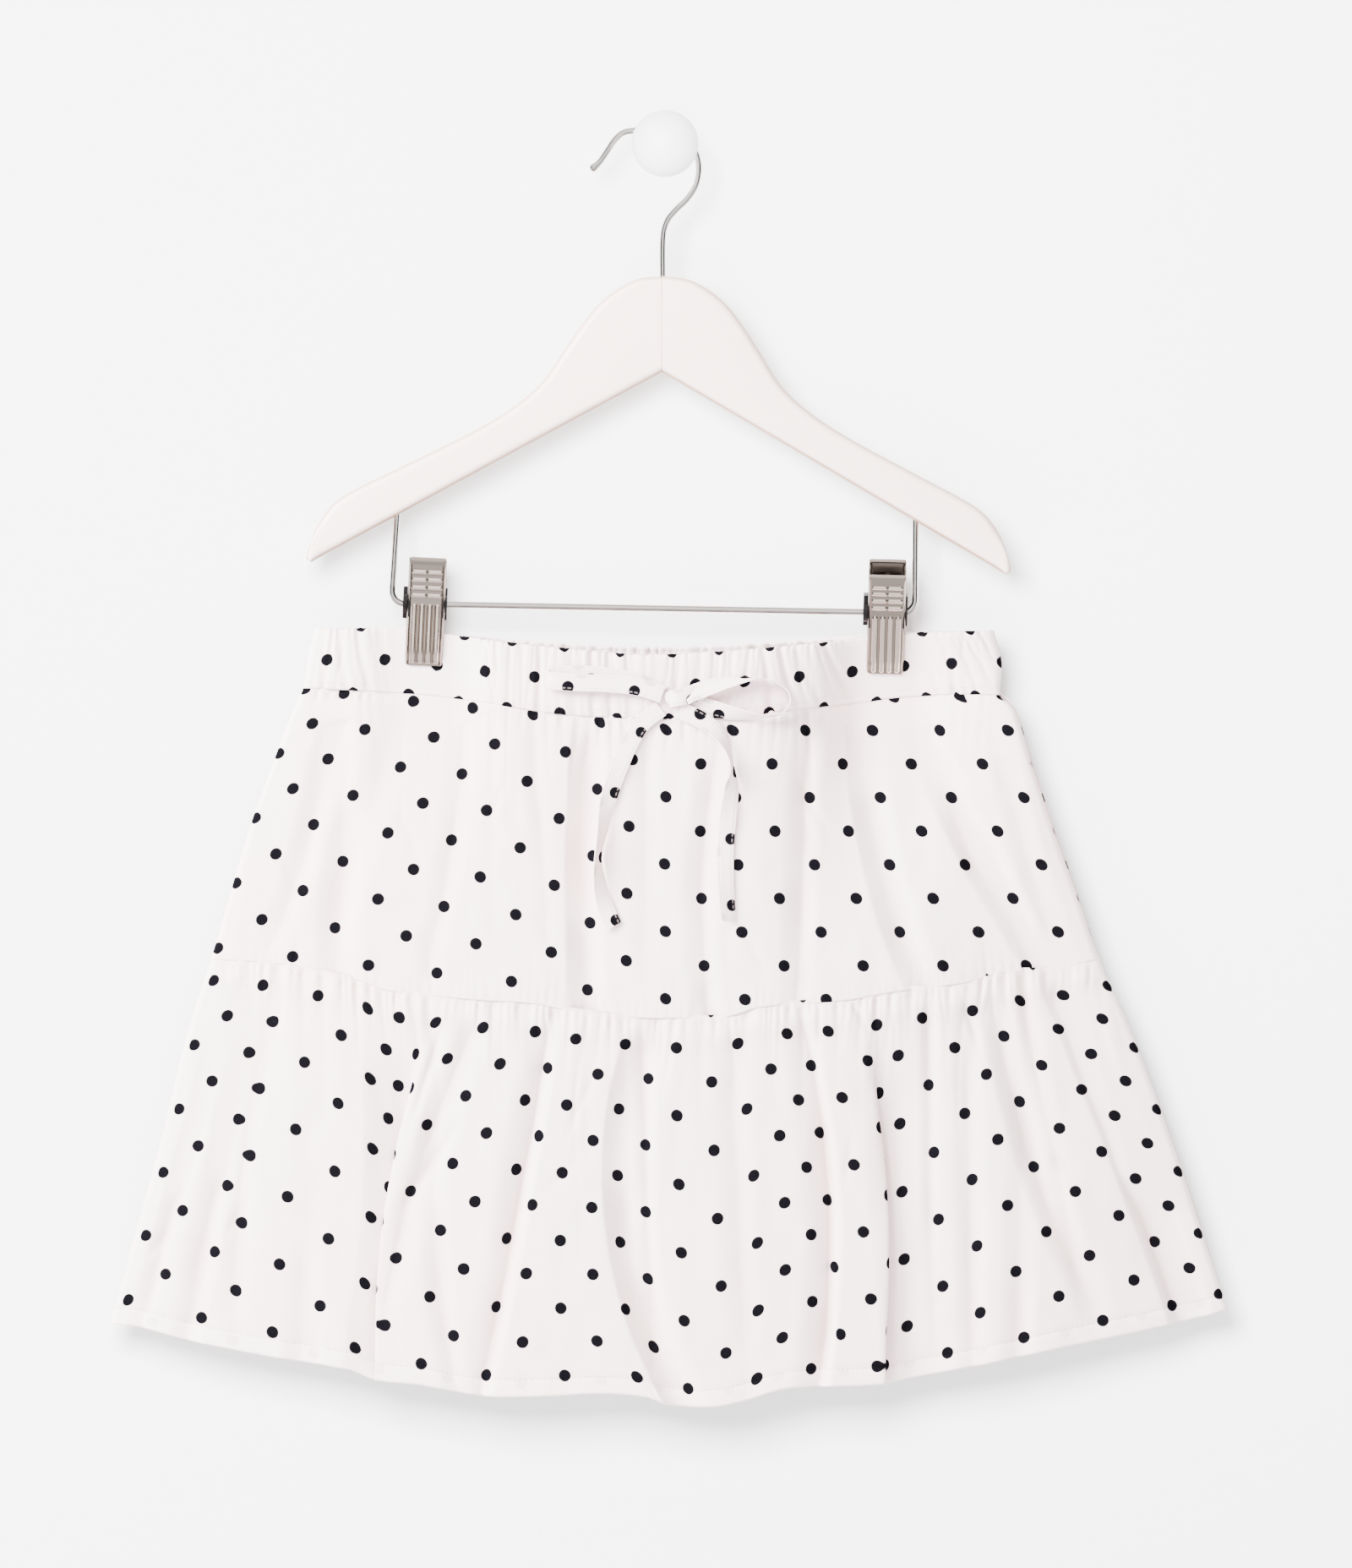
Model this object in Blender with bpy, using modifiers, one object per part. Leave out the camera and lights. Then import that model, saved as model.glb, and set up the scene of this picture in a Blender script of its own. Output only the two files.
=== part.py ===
"""Child's two-tier skort on a clip hanger that hangs from a ball knob.

The origin is the centre of the knob's flat back, where it meets the wall. X runs to
the right, Z up, and the front of the skort faces -Y. Tables are in millimetres and
the mesh points in metres.
"""

import math
from collections import namedtuple

import bmesh
import bpy
from mathutils import Matrix, Vector

MM = 0.001

# ---- Driving dimensions, in millimetres ----

SEAM_GAP = 0.3
HALF_GAP = SEAM_GAP / 2
RIM_GAP = 0.24
PANEL_DROP = 0.2
WAIST_RISE = 0.35
WAIST_DROP = 0.3

HANG_DEPTH = 24.0
HANGER_TILT = math.radians(1.03)

KNOB_BALL_RADIUS = 14.2
KNOB_BALL_DEPTH = 38.5
KNOB_STEM_RADIUS = 6.5

HANGER_THICKNESS = 11.0
HANGER_EDGE_ROUND = 2.4
HANGER_NOTCH = (-1.2, -96.8)
GLUE_SEAM_X = -1.4
ARM_ROOM = 200.0
HOLE_CLEARANCE = 0.4
HOLE_LENGTH = 40.0

HOOK_WIRE = 2.3
HOOK_SOCKET = 12.0
BAR_WIRE = 2.3
BAR_SOCKET = 8.0
BAR_BEND = 5.5

CLIP_WIDTH = 15.3
CLIP_STEEL = 0.9
FRONT_EAR_HOLE = 1.9
BACK_EAR_HOLE = 2.6
EAR_TOP = 7.2
EAR_BOTTOM = -6.4
EAR_NOSE = 4.2
EAR_REACH = 5.3
YOKE_REACH = 5.0

SPRING_WIRE = 0.8
SPRING_TURNS = 4
SPRING_HALF_LENGTH = 4.6
SPRING_LEG_TOP = 9.0
SPRING_LEG_FORWARD = 5.1
SPRING_CLEARANCE = 0.4

CLOTH = 1.1
BAND_CLOTH = 2.6
LAYER_STEP = 0.7
PINCH_DEPTH = 1.3
SIDE_ROUND = 2.0

TAPE_WIDTH = 7.2
TAPE_CLOTH = 1.0

# ---- The skirt's rings, from the waist down ----
# One row for each ring. The left and right columns are the side seams as they hang,
# the sag columns say how much lower the ring hangs at the middle, and the depth
# columns are how far each layer stands from the hanging plane.

Ring = namedtuple(
    "Ring", "name left_x right_x left_z right_z sag back_sag power front_depth back_depth"
)
RINGS = (
    Ring("band_top", -148.3, 139.2, -205.8, -206.6, 10.8, 7.2, 2.6, 8.2, 7.8),
    Ring("band_middle", -151.2, 142.4, -218.6, -219.4, 11.8, 8.6, 2.5, 8.6, 8.1),
    Ring("waist_seam", -153.4, 142.0, -231.4, -232.2, 12.9, 10.0, 2.3, 8.9, 8.4),
    Ring("tier_high", -157.0, 148.6, -239.0, -239.8, 14.2, 11.0, 2.2, 9.9, 9.2),
    Ring("tier_upper", -166.4, 156.4, -264.0, -264.6, 16.8, 14.0, 2.0, 11.2, 10.2),
    Ring("tier_middle", -176.2, 165.4, -291.0, -291.4, 19.6, 17.0, 1.8, 12.4, 11.2),
    Ring("tier_low", -184.6, 175.2, -319.0, -319.0, 22.4, 20.0, 1.6, 13.5, 12.1),
    Ring("tier_seam", -192.8, 184.4, -346.8, -346.8, 24.9, 23.0, 1.5, 14.6, 13.1),
    Ring("flounce_high", -203.4, 198.6, -380.0, -378.4, 26.6, 24.6, 1.4, 16.6, 14.4),
    Ring("flounce_middle", -216.0, 216.6, -431.0, -427.0, 30.0, 27.6, 1.3, 19.2, 16.2),
    Ring("hem", -235.6, 239.0, -502.0, -495.4, 34.0, 31.0, 1.2, 22.0, 17.6),
)
TIER_TOP = 2
TIER_BOTTOM = 7
BAND_ROWS = (0.0, 1.0, 2.0)
TIER_ROWS = (2.0, 3.0, 4.0, 5.0, 6.0, 7.0)
FLOUNCE_ROWS = (7.0, 8.0, 8.55, 9.0, 9.5, 10.0)

# Turns, in degrees, of the close columns round each folded side seam.
SIDE_TURNS = (0.0, 10.0, 34.0, 60.0, 90.0)
SIDE_DOME = 2.2
# How far from the side seams, top seam and bottom seam the folds take to begin.
EDGE_FADE = 18.0
RUCHE_FADE = 12.0
TOP_FADE = 0.45
BOTTOM_FADE = 0.12
BAND_COLUMNS = 54
TIER_COLUMNS = 36
FLOUNCE_COLUMNS = 58

# ---- The largest folds ----
# One row for each trough. The x columns give where it runs at its panel's top,
# middle and bottom, the depth columns how far it goes in there, and reach is half
# its width.

Fold = namedtuple("Fold", "x_top x_middle x_bottom depth_top depth_middle depth_bottom reach")
TIER_FRONT_FOLDS = (
    Fold(-138.0, -146.0, -166.0, 0.8, 2.2, 0.6, 13.0),
    Fold(-112.0, -128.0, -140.0, 1.2, 1.6, 2.0, 13.0),
    Fold(-84.0, -90.0, -100.0, 1.6, 1.5, 0.4, 12.0),
    Fold(-34.0, -36.0, -34.0, 1.4, 2.4, 2.6, 13.0),
    Fold(24.0, 17.0, 18.0, 0.8, 2.4, 2.2, 13.0),
    Fold(62.0, 59.0, 56.0, 1.4, 1.8, 1.8, 12.0),
    Fold(84.0, 90.0, 110.0, 2.2, 2.8, 2.4, 14.0),
    Fold(101.0, 128.0, 160.0, 1.0, 2.8, 1.4, 14.0),
)
TIER_BACK_FOLDS = (
    Fold(-128.0, -140.0, -160.0, 1.4, 2.0, 1.2, 14.0),
    Fold(-88.0, -92.0, -104.0, 1.2, 2.2, 1.6, 14.0),
    Fold(-40.0, -48.0, -52.0, 1.6, 1.8, 2.2, 13.0),
    Fold(2.0, 4.0, -2.0, 1.0, 2.0, 1.2, 15.0),
    Fold(44.0, 50.0, 58.0, 1.6, 2.0, 2.4, 13.0),
    Fold(92.0, 104.0, 118.0, 1.8, 2.4, 1.4, 14.0),
    Fold(122.0, 138.0, 158.0, 1.2, 1.8, 1.6, 13.0),
)
FLOUNCE_FRONT_FOLDS = (
    Fold(-171.0, -184.0, -192.0, 2.4, 4.2, 4.6, 15.0),
    Fold(-127.0, -118.0, -125.0, 2.6, 6.6, 8.4, 16.0),
    Fold(-86.0, -97.0, -98.0, 1.8, 2.8, 4.4, 13.0),
    Fold(-51.0, -62.0, -74.0, 2.4, 4.6, 5.2, 14.0),
    Fold(-20.0, -27.0, -9.0, 2.2, 3.8, 6.0, 14.0),
    Fold(33.0, 30.0, 38.0, 1.8, 2.6, 4.0, 13.0),
    Fold(59.0, 67.5, 68.0, 2.6, 5.4, 5.8, 14.0),
    Fold(99.0, 96.0, 93.5, 2.6, 6.8, 8.6, 15.0),
    Fold(134.0, 134.0, 128.0, 2.0, 2.8, 3.6, 13.0),
    Fold(167.0, 191.0, 219.0, 2.6, 5.2, 4.4, 16.0),
)
FLOUNCE_BACK_FOLDS = (
    Fold(-168.0, -186.0, -206.0, 2.2, 4.6, 4.4, 15.0),
    Fold(-132.0, -140.0, -152.0, 2.0, 4.0, 5.6, 15.0),
    Fold(-92.0, -96.0, -90.0, 2.4, 4.8, 5.8, 15.0),
    Fold(-54.0, -50.0, -44.0, 2.0, 3.4, 5.0, 14.0),
    Fold(-8.0, -4.0, 6.0, 2.2, 4.6, 6.2, 15.0),
    Fold(38.0, 44.0, 42.0, 1.8, 3.2, 4.4, 13.0),
    Fold(80.0, 88.0, 96.0, 2.2, 5.0, 6.0, 15.0),
    Fold(124.0, 132.0, 146.0, 2.2, 4.2, 5.2, 14.0),
    Fold(164.0, 180.0, 202.0, 2.0, 4.4, 4.2, 15.0),
)
RUCHE_PITCH = 17.0
RUCHE_DEPTH = 0.45

# What shapes a layer: how far it stands out from the band's middle surface, its folds,
# whether they run on to an open hem, and the height of its ruching.
Layer = namedtuple("Layer", "step_out folds open_hem ruche")
BAND = Layer(0.0, (), False, RUCHE_DEPTH)
SHORTS_WAIST = Layer(-LAYER_STEP, (), False, 0.0)
TIERS = {
    "front": Layer(LAYER_STEP, TIER_FRONT_FOLDS, False, 0.0),
    "back": Layer(LAYER_STEP, TIER_BACK_FOLDS, False, 0.0),
}
FLOUNCES = {
    "front": Layer(LAYER_STEP, FLOUNCE_FRONT_FOLDS, True, 0.0),
    "back": Layer(LAYER_STEP, FLOUNCE_BACK_FOLDS, True, 0.0),
}

# ---- The shorts ----
# One row for each ring of a leg. outer_x and inner_x are measured from the skort's
# middle, joined is 1 where the two legs are one tube and 0 below the crotch.

Leg = namedtuple("Leg", "name z outer_x inner_x depth joined sag")
LEG_RINGS = (
    Leg("waist", -231.8, 147.0, 0.0, 6.0, 1.0, 12.0),
    Leg("under_band", -247.0, 149.5, 0.0, 1.0, 1.0, 11.0),
    Leg("high_hip", -266.0, 152.0, 0.0, 1.1, 1.0, 10.0),
    Leg("hip", -304.0, 159.0, 0.0, 1.7, 1.0, 8.0),
    Leg("rise", -352.0, 165.0, 0.4, 2.8, 1.0, 4.0),
    Leg("low_rise", -376.0, 168.0, 0.8, 3.6, 0.45, 1.0),
    Leg("crotch", -394.0, 169.0, 0.8, 4.2, 0.0, 0.0),
    Leg("leg_hem", -440.0, 173.0, 8.0, 5.0, 0.0, 0.0),
)
SKORT_MIDDLE_X = -5.7
LEG_ROUND = 1.0
LEG_TURNS = (0.0, 10.0, 90.0)
# The tier's columns, counted from its middle, that the shorts' columns stand behind:
# all of them where the clips close the cloth.
LEG_STOPS = (3, 5, 6, 7, 8, 9, 10, 11, 12, 13, 14, 15, 16)

# ---- The clips ----
# x and z are where the bar goes through, lean turns the clip in its own plane and
# pitch tips its top towards the front.

Clip = namedtuple("Clip", "name x z lean pitch")
CLIPS = (
    Clip("left", -101.7, -195.5, math.radians(2.6), 0.0),
    Clip("right", 94.4, -199.0, math.radians(1.4), math.radians(18.0)),
)
GRIP_FLAT = 10.0
GRIP_REACH = 32.0
SET_BACK_REACH = 58.0

# How far the right clip pushes the cloth towards the wall, at each height.
SetBack = namedtuple("SetBack", "z back")
SET_BACK = (
    SetBack(-199.0, 0.0),
    SetBack(-222.0, 7.5),
    SetBack(-235.5, 10.6),
    SetBack(-252.0, 10.0),
    SetBack(-284.0, 6.6),
    SetBack(-320.0, 2.2),
    SetBack(-346.0, 0.0),
)
# How firmly the clips close the cloth, at each height.
Grip = namedtuple("Grip", "z hold")
GRIP = (
    Grip(-200.0, 1.0),
    Grip(-233.0, 1.0),
    Grip(-252.0, 0.72),
    Grip(-284.0, 0.25),
    Grip(-320.0, 0.0),
)

# Side view of a clip's plate: forward is measured from the bar to the middle of the
# steel, up from the bar.
PlatePoint = namedtuple("PlatePoint", "forward up")
CLIP_PLATE = (
    PlatePoint(5.5, 18.6),
    PlatePoint(6.5, 19.4),
    PlatePoint(7.2, 18.7),
    PlatePoint(6.9, 16.5),
    PlatePoint(5.6, 4.0),
    PlatePoint(5.1, -4.0),
    PlatePoint(5.0, -20.0),
    PlatePoint(3.85, -24.4),
    PlatePoint(3.85, -26.2),
)

# ---- The bow ----
# One row for each turn of a strand: x and z of the tape's middle line as seen from
# the front, twist is 0 where the tape lies flat and 90 where it stands on edge, and
# lift is how far its nearest face stands off the cloth.

Tape = namedtuple("Tape", "x z twist lift")
LOOP_LEFT = (
    Tape(-0.6, -233.8, 0, 0.5),
    Tape(-12.0, -228.6, 0, 0.5),
    Tape(-27.0, -225.9, 0, 0.5),
    Tape(-41.0, -225.4, 0, 0.5),
    Tape(-48.2, -226.6, 0, 1.2),
    Tape(-49.6, -227.4, 0, 2.4),
    Tape(-48.0, -228.2, 0, 3.6),
    Tape(-38.0, -229.0, 0, 3.9),
    Tape(-25.0, -229.4, 0, 3.7),
    Tape(-12.0, -230.8, 0, 3.5),
    Tape(-1.2, -234.0, 0, 3.4),
)
LOOP_RIGHT = (
    Tape(8.6, -235.0, 8, 3.4),
    Tape(17.0, -231.6, 20, 3.0),
    Tape(28.0, -228.6, 50, 1.8),
    Tape(37.5, -227.4, 84, 0.8),
    Tape(46.0, -228.6, 90, 0.7),
    Tape(52.2, -232.6, 90, 0.7),
    Tape(53.0, -238.0, 90, 0.7),
    Tape(48.4, -242.6, 90, 0.7),
    Tape(38.6, -243.4, 72, 0.7),
    Tape(27.0, -241.6, 36, 0.6),
    Tape(15.0, -238.6, 8, 0.5),
    Tape(8.4, -237.6, 0, 0.5),
)
TAIL_LEFT = (
    Tape(-1.8, -240.0, 0, 0.5),
    Tape(-9.6, -246.2, 0, 0.6),
    Tape(-15.0, -255.0, 0, 0.7),
    Tape(-20.4, -267.6, 6, 0.7),
    Tape(-24.4, -280.0, 24, 0.7),
    Tape(-26.8, -293.0, 56, 0.7),
    Tape(-28.4, -304.0, 66, 0.7),
    Tape(-27.6, -315.0, 42, 0.7),
    Tape(-25.0, -325.0, 14, 0.7),
    Tape(-21.8, -332.6, 8, 0.7),
)
TAIL_RIGHT = (
    Tape(6.2, -240.6, 0, 2.1),
    Tape(14.6, -244.4, 6, 2.1),
    Tape(21.6, -249.6, 30, 1.4),
    Tape(26.4, -257.0, 66, 0.7),
    Tape(28.6, -265.6, 76, 0.7),
    Tape(28.2, -274.6, 34, 0.7),
    Tape(26.6, -288.0, 10, 0.7),
    Tape(25.6, -303.0, 6, 0.7),
    Tape(26.0, -318.0, 20, 0.7),
    Tape(27.2, -330.6, 34, 0.7),
)
KNOT_AT = (3.6, -236.4)
KNOT_SIZE = (7.6, 3.4, 6.0)
KNOT_LIFT = 0.4
TAPE_STEPS = 2
FACE_SEARCH_STEPS = 24
FORWARD = Vector((0.0, -1.0, 0.0))
TURN_LIMIT = 0.8

# ---- Finishes: colour, roughness, metallic ----

COTTON = ((0.93, 0.92, 0.92), 0.85, 0.0)
PAINTED_WOOD = ((0.92, 0.90, 0.88), 0.45, 0.0)
CHROME_WIRE = ((0.78, 0.78, 0.79), 0.15, 1.0)
NICKEL = ((0.66, 0.61, 0.57), 0.32, 1.0)
SPRING_STEEL = ((0.12, 0.11, 0.11), 0.4, 1.0)
KNOB_PAINT = ((0.93, 0.93, 0.93), 0.35, 0.0)


# ---- Small helpers ----

def clear_scene():
    """Remove whatever the opened file holds."""
    for old in list(bpy.data.objects):
        bpy.data.objects.remove(old, do_unlink=True)


def new_collection(name):
    """Make a collection in the scene."""
    group = bpy.data.collections.new(name)
    bpy.context.scene.collection.children.link(group)
    return group


def make_material(name, finish):
    """Make a Principled material from a colour, roughness and metallic value."""
    colour, roughness, metallic = finish
    material = bpy.data.materials.new(name)
    material.use_nodes = True
    shader = material.node_tree.nodes["Principled BSDF"]
    shader.inputs["Base Color"].default_value = (*colour, 1.0)
    shader.inputs["Roughness"].default_value = roughness
    shader.inputs["Metallic"].default_value = metallic
    return material


def add_object(name, data, finish, group):
    """Put mesh or curve data in the scene as a named piece."""
    piece = bpy.data.objects.new(name, data)
    data.materials.append(make_material(name, finish))
    group.objects.link(piece)
    return piece


def smoothstep(low, high, value):
    """Rise smoothly from 0 at low to 1 at high."""
    share = min(max((value - low) / (high - low), 0.0), 1.0)
    return share * share * (3.0 - 2.0 * share)


def catmull(before, start, end, after, share):
    """Point on the smooth curve between start and end."""
    square = share * share
    cube = square * share
    return 0.5 * (
        2.0 * start
        + (end - before) * share
        + (2.0 * before - 5.0 * start + 4.0 * end - after) * square
        + (3.0 * start - before - 3.0 * end + after) * cube
    )


def table_row(rows, place):
    """Smoothly read the number columns of a table at a row place such as 2.5."""
    last = len(rows) - 1
    index = min(int(place), last - 1)
    share = place - index
    picks = [rows[min(max(index + step, 0), last)] for step in (-1, 0, 1, 2)]
    values = []
    for cells in zip(*picks):
        if isinstance(cells[0], str):
            values.append(cells[1])
        else:
            values.append(catmull(*cells, share))
    return rows[0]._make(values)


def by_height(rows, z):
    """Read a table of heights, highest first, at height z."""
    if z >= rows[0].z:
        return rows[0][1]
    for upper, lower in zip(rows, rows[1:]):
        if z >= lower.z:
            share = (upper.z - z) / (upper.z - lower.z)
            return upper[1] + (lower[1] - upper[1]) * share
    return rows[-1][1]


# ---- The skirt's form ----

def grip_at(x, z):
    """How far the clips close the cloth at this place, from 0 to 1."""
    nearest = min(abs(x - clip.x) for clip in CLIPS)
    return (1.0 - smoothstep(GRIP_FLAT, GRIP_REACH, nearest)) * by_height(GRIP, z)


def set_back_at(x, z):
    """How far the pitched right clip pushes the cloth towards the wall."""
    away = abs(x - CLIPS[1].x)
    return (1.0 - smoothstep(GRIP_FLAT, SET_BACK_REACH, away)) * by_height(SET_BACK, z)


def side_round(distance, radius):
    """Depth of the round fold at a side seam, at a distance from it."""
    if distance >= radius:
        return radius
    return math.sqrt(max(radius * radius - (radius - distance) ** 2, 0.0))


def fold_at(layer, x, share, edge_distance):
    """How far the folds take the cloth inwards, share being the way down the layer."""
    total = 0.0
    for fold in layer.folds:
        if share < 0.5:
            blend = smoothstep(0.0, 1.0, share * 2.0)
            centre = fold.x_top + (fold.x_middle - fold.x_top) * blend
            depth = fold.depth_top + (fold.depth_middle - fold.depth_top) * blend
        else:
            blend = smoothstep(0.0, 1.0, share * 2.0 - 1.0)
            centre = fold.x_middle + (fold.x_bottom - fold.x_middle) * blend
            depth = fold.depth_middle + (fold.depth_bottom - fold.depth_middle) * blend
        away = (x - centre) / fold.reach
        if abs(away) < 1.0:
            total += depth * (1.0 - away * away) ** 2
    seam_fade = smoothstep(0.0, TOP_FADE, share)
    if not layer.open_hem:
        seam_fade *= smoothstep(0.0, BOTTOM_FADE, 1.0 - share)
    return total * seam_fade * smoothstep(SIDE_ROUND, EDGE_FADE, edge_distance)


def ring_middle(ring):
    """Middle of a ring between its side seams."""
    return (ring.left_x + ring.right_x) / 2


def ring_half(ring):
    """Half of a ring's width."""
    return (ring.right_x - ring.left_x) / 2


def ring_height(ring, across, front):
    """Height of a ring at a share across it."""
    slant = ring.left_z + (ring.right_z - ring.left_z) * (across + 1.0) / 2
    sag = ring.sag if front else ring.back_sag
    return slant - sag * max(1.0 - across * across, 0.0) ** ring.power


def ring_point(front, across, place, layer, share=0.0):
    """Point of a layer: across runs from -1 at the left seam to 1 at the right.

    place is the row of the ring table, share the way down the layer. The result is in
    millimetres.
    """
    ring = table_row(RINGS, place)
    half = ring_half(ring) + layer.step_out
    x = ring_middle(ring) + half * across
    z = ring_height(ring, across, front)
    edge_distance = half * (1.0 - abs(across))
    end_round = side_round(edge_distance, SIDE_ROUND + layer.step_out)
    full = (ring.front_depth if front else ring.back_depth) - SIDE_ROUND
    depth = end_round + full * (1.0 - abs(across) ** SIDE_DOME)
    hold = grip_at(x, z)
    free = 1.0 - hold
    depth += (min(PINCH_DEPTH + layer.step_out, end_round) - depth) * hold
    depth -= fold_at(layer, x, share, edge_distance) * free
    wave = math.sin(2.0 * math.pi * x / RUCHE_PITCH)
    depth += layer.ruche * wave * free * smoothstep(SIDE_ROUND, RUCHE_FADE, edge_distance)
    depth += RIM_GAP
    y = -HANG_DEPTH + (-depth if front else depth) + set_back_at(x, z)
    return Vector((x, y, z))


def side_steps(radius, turns):
    """Distances from a side seam of the columns round its fold."""
    return [radius * (1.0 - math.cos(math.radians(turn))) for turn in turns]


def columns_across(half_width, even_columns, radius):
    """Shares across a panel: close to each side seam, then even ones."""
    close = [-1.0 + step / half_width for step in side_steps(radius, SIDE_TURNS)]
    inner = close[-1]
    even = [inner - 2.0 * inner * index / even_columns for index in range(1, even_columns)]
    return close + even + [-share for share in reversed(close)]


def sheet_mesh(name, grid):
    """Mesh of one open sheet through rows of points given in millimetres."""
    form = bmesh.new()
    rows = [[form.verts.new(point * MM) for point in row] for row in grid]
    for upper, lower in zip(rows, rows[1:]):
        for index in range(len(upper) - 1):
            form.faces.new((lower[index], lower[index + 1], upper[index + 1], upper[index]))
    mesh = bpy.data.meshes.new(name)
    form.to_mesh(mesh)
    form.free()
    return mesh


def add_panel(name, grid, thickness, group):
    """Cloth panel: a sheet through the grid, thickened evenly to both sides."""
    mesh = sheet_mesh(name, grid)
    mesh.shade_smooth()
    panel = add_object(name, mesh, COTTON, group)
    wall = panel.modifiers.new("Wall", "SOLIDIFY")
    wall.thickness = thickness * MM
    wall.offset = 0.0
    return panel


def seam_lift(place, top):
    """How far a row at a seam moves away from the panel it is sewn to."""
    if place == TIER_TOP:
        return -WAIST_DROP if place == top else WAIST_RISE
    if place == TIER_BOTTOM:
        return -PANEL_DROP if place == top else PANEL_DROP
    return 0.0


def skirt_grid(side, place_rows, even_columns, layer):
    """Rows of points of a skirt panel, clear of its neighbours at the seams."""
    front = side == "front"
    half_width = ring_half(table_row(RINGS, place_rows[-1]))
    shares = columns_across(half_width, even_columns, SIDE_ROUND + layer.step_out)
    if not front:
        shares = list(reversed(shares))
    top = place_rows[0]
    bottom = place_rows[-1]
    grid = []
    for place in place_rows:
        down = (place - top) / (bottom - top)
        lift = Vector((0.0, 0.0, seam_lift(place, top)))
        grid.append([ring_point(front, across, place, layer, down) + lift for across in shares])
    return grid


def build_skirt(group):
    """Waistband, upper tier and flounce, each with a front and a back."""
    for side in ("front", "back"):
        band = skirt_grid(side, BAND_ROWS, BAND_COLUMNS, BAND)
        add_panel("waistband_" + side, band, BAND_CLOTH, group)
        tier = skirt_grid(side, TIER_ROWS, TIER_COLUMNS, TIERS[side])
        add_panel("tier_" + side, tier, CLOTH, group)
        flounce = skirt_grid(side, FLOUNCE_ROWS, FLOUNCE_COLUMNS, FLOUNCES[side])
        add_panel("flounce_" + side, flounce, CLOTH, group)


# ---- The shorts' form ----

def leg_depth(share, leg):
    """Depth of a leg across its width, before the clips close it.

    Above the crotch the inner edge is the middle of one wide tube, below it the inner
    edge is the inseam of a leg of its own.
    """
    width = leg.outer_x - leg.inner_x
    centre = 0.5 * (1.0 - leg.joined)
    if share >= centre:
        away = (share - centre) / (1.0 - centre)
    else:
        away = 2.0 * (centre - share)
    outer_end = side_round((1.0 - share) * width, LEG_ROUND)
    inner_end = side_round(share * width, LEG_ROUND)
    inner_end += (LEG_ROUND - inner_end) * leg.joined
    dome = (leg.depth - LEG_ROUND) * (1.0 - away ** SIDE_DOME)
    return min(outer_end, inner_end) + dome


def leg_point(front, right, share, leg):
    """Point of a shorts panel; share runs from the inner edge to the side seam."""
    hand = 1.0 if right else -1.0
    inner = leg.inner_x + HALF_GAP
    out = inner + (leg.outer_x - inner) * share
    x = SKORT_MIDDLE_X + hand * out
    z = leg.z - leg.sag * max(1.0 - (out / leg.outer_x) ** 2, 0.0) ** 2
    depth = leg_depth(share, leg)
    hold = grip_at(x, z)
    near = min(PINCH_DEPTH - LAYER_STEP, depth)
    depth += (near - depth) * hold + RIM_GAP
    y = -HANG_DEPTH + (-depth if front else depth) + set_back_at(x, z)
    return Vector((x, y, z))


def waist_row(front, right, shares):
    """Top row of a shorts panel, on the inner half of the band's lower edge."""
    ring = RINGS[TIER_TOP]
    hand = 1.0 if right else -1.0
    half = ring_half(ring) + SHORTS_WAIST.step_out
    start = (SKORT_MIDDLE_X + hand * HALF_GAP - ring_middle(ring)) / half
    row = []
    for share in shares:
        across = start + (hand - start) * share
        point = ring_point(front, across, TIER_TOP, SHORTS_WAIST)
        row.append(point - Vector((0.0, 0.0, WAIST_DROP)))
    return row


def leg_shares():
    """Shares across a shorts panel, close at both edges and behind the tier's columns."""
    seam_half = ring_half(RINGS[TIER_TOP])
    tier_inner = 1.0 - (SIDE_ROUND + LAYER_STEP) / ring_half(RINGS[TIER_BOTTOM])
    stride = tier_inner / (TIER_COLUMNS / 2) * (seam_half + LAYER_STEP) / (seam_half - LAYER_STEP)
    ends = [step / seam_half for step in side_steps(LEG_ROUND, LEG_TURNS)]
    return ends + [stop * stride for stop in LEG_STOPS] + [1.0 - end for end in reversed(ends)]


def build_shorts(group):
    """Four plain panels, two for each leg, hung from the waist seam."""
    shares = leg_shares()
    for right in (False, True):
        for front in (True, False):
            grid = [waist_row(front, right, shares)]
            for leg in LEG_RINGS[1:]:
                grid.append([leg_point(front, right, share, leg) for share in shares])
            if right != front:
                grid = [list(reversed(row)) for row in grid]
            name = "shorts_{}_{}".format("right" if right else "left", "front" if front else "back")
            add_panel(name, grid, CLOTH, group)


# ---- The bow ----

def front_face(x, z):
    """How far forward the skirt's outer front face stands at x and z."""
    low = 0.0
    high = float(len(RINGS) - 1)
    for _ in range(FACE_SEARCH_STEPS):
        place = (low + high) / 2
        ring = table_row(RINGS, place)
        across = (x - ring_middle(ring)) / ring_half(ring)
        if ring_height(ring, across, True) > z:
            low = place
        else:
            high = place
    if place < TIER_TOP:
        return ring_point(True, across, place, BAND).y - BAND_CLOTH / 2
    down = (place - TIER_TOP) / (TIER_BOTTOM - TIER_TOP)
    return ring_point(True, across, place, TIERS["front"], down).y - CLOTH / 2


def clear_face(x, z):
    """Foremost place of the skirt's face under a stretch of tape."""
    reach = TAPE_WIDTH / 2
    return min(front_face(x + dx, z + dz) for dx in (-reach, 0, reach) for dz in (-reach, 0, reach))


def tape_middle(row):
    """Middle of a strand at one row, standing clear of the skirt."""
    twist = math.radians(row.twist)
    stand = TAPE_WIDTH * abs(math.sin(twist)) + TAPE_CLOTH * abs(math.cos(twist))
    return Vector((row.x, clear_face(row.x, row.z) - row.lift - stand / 2, row.z))


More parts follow.
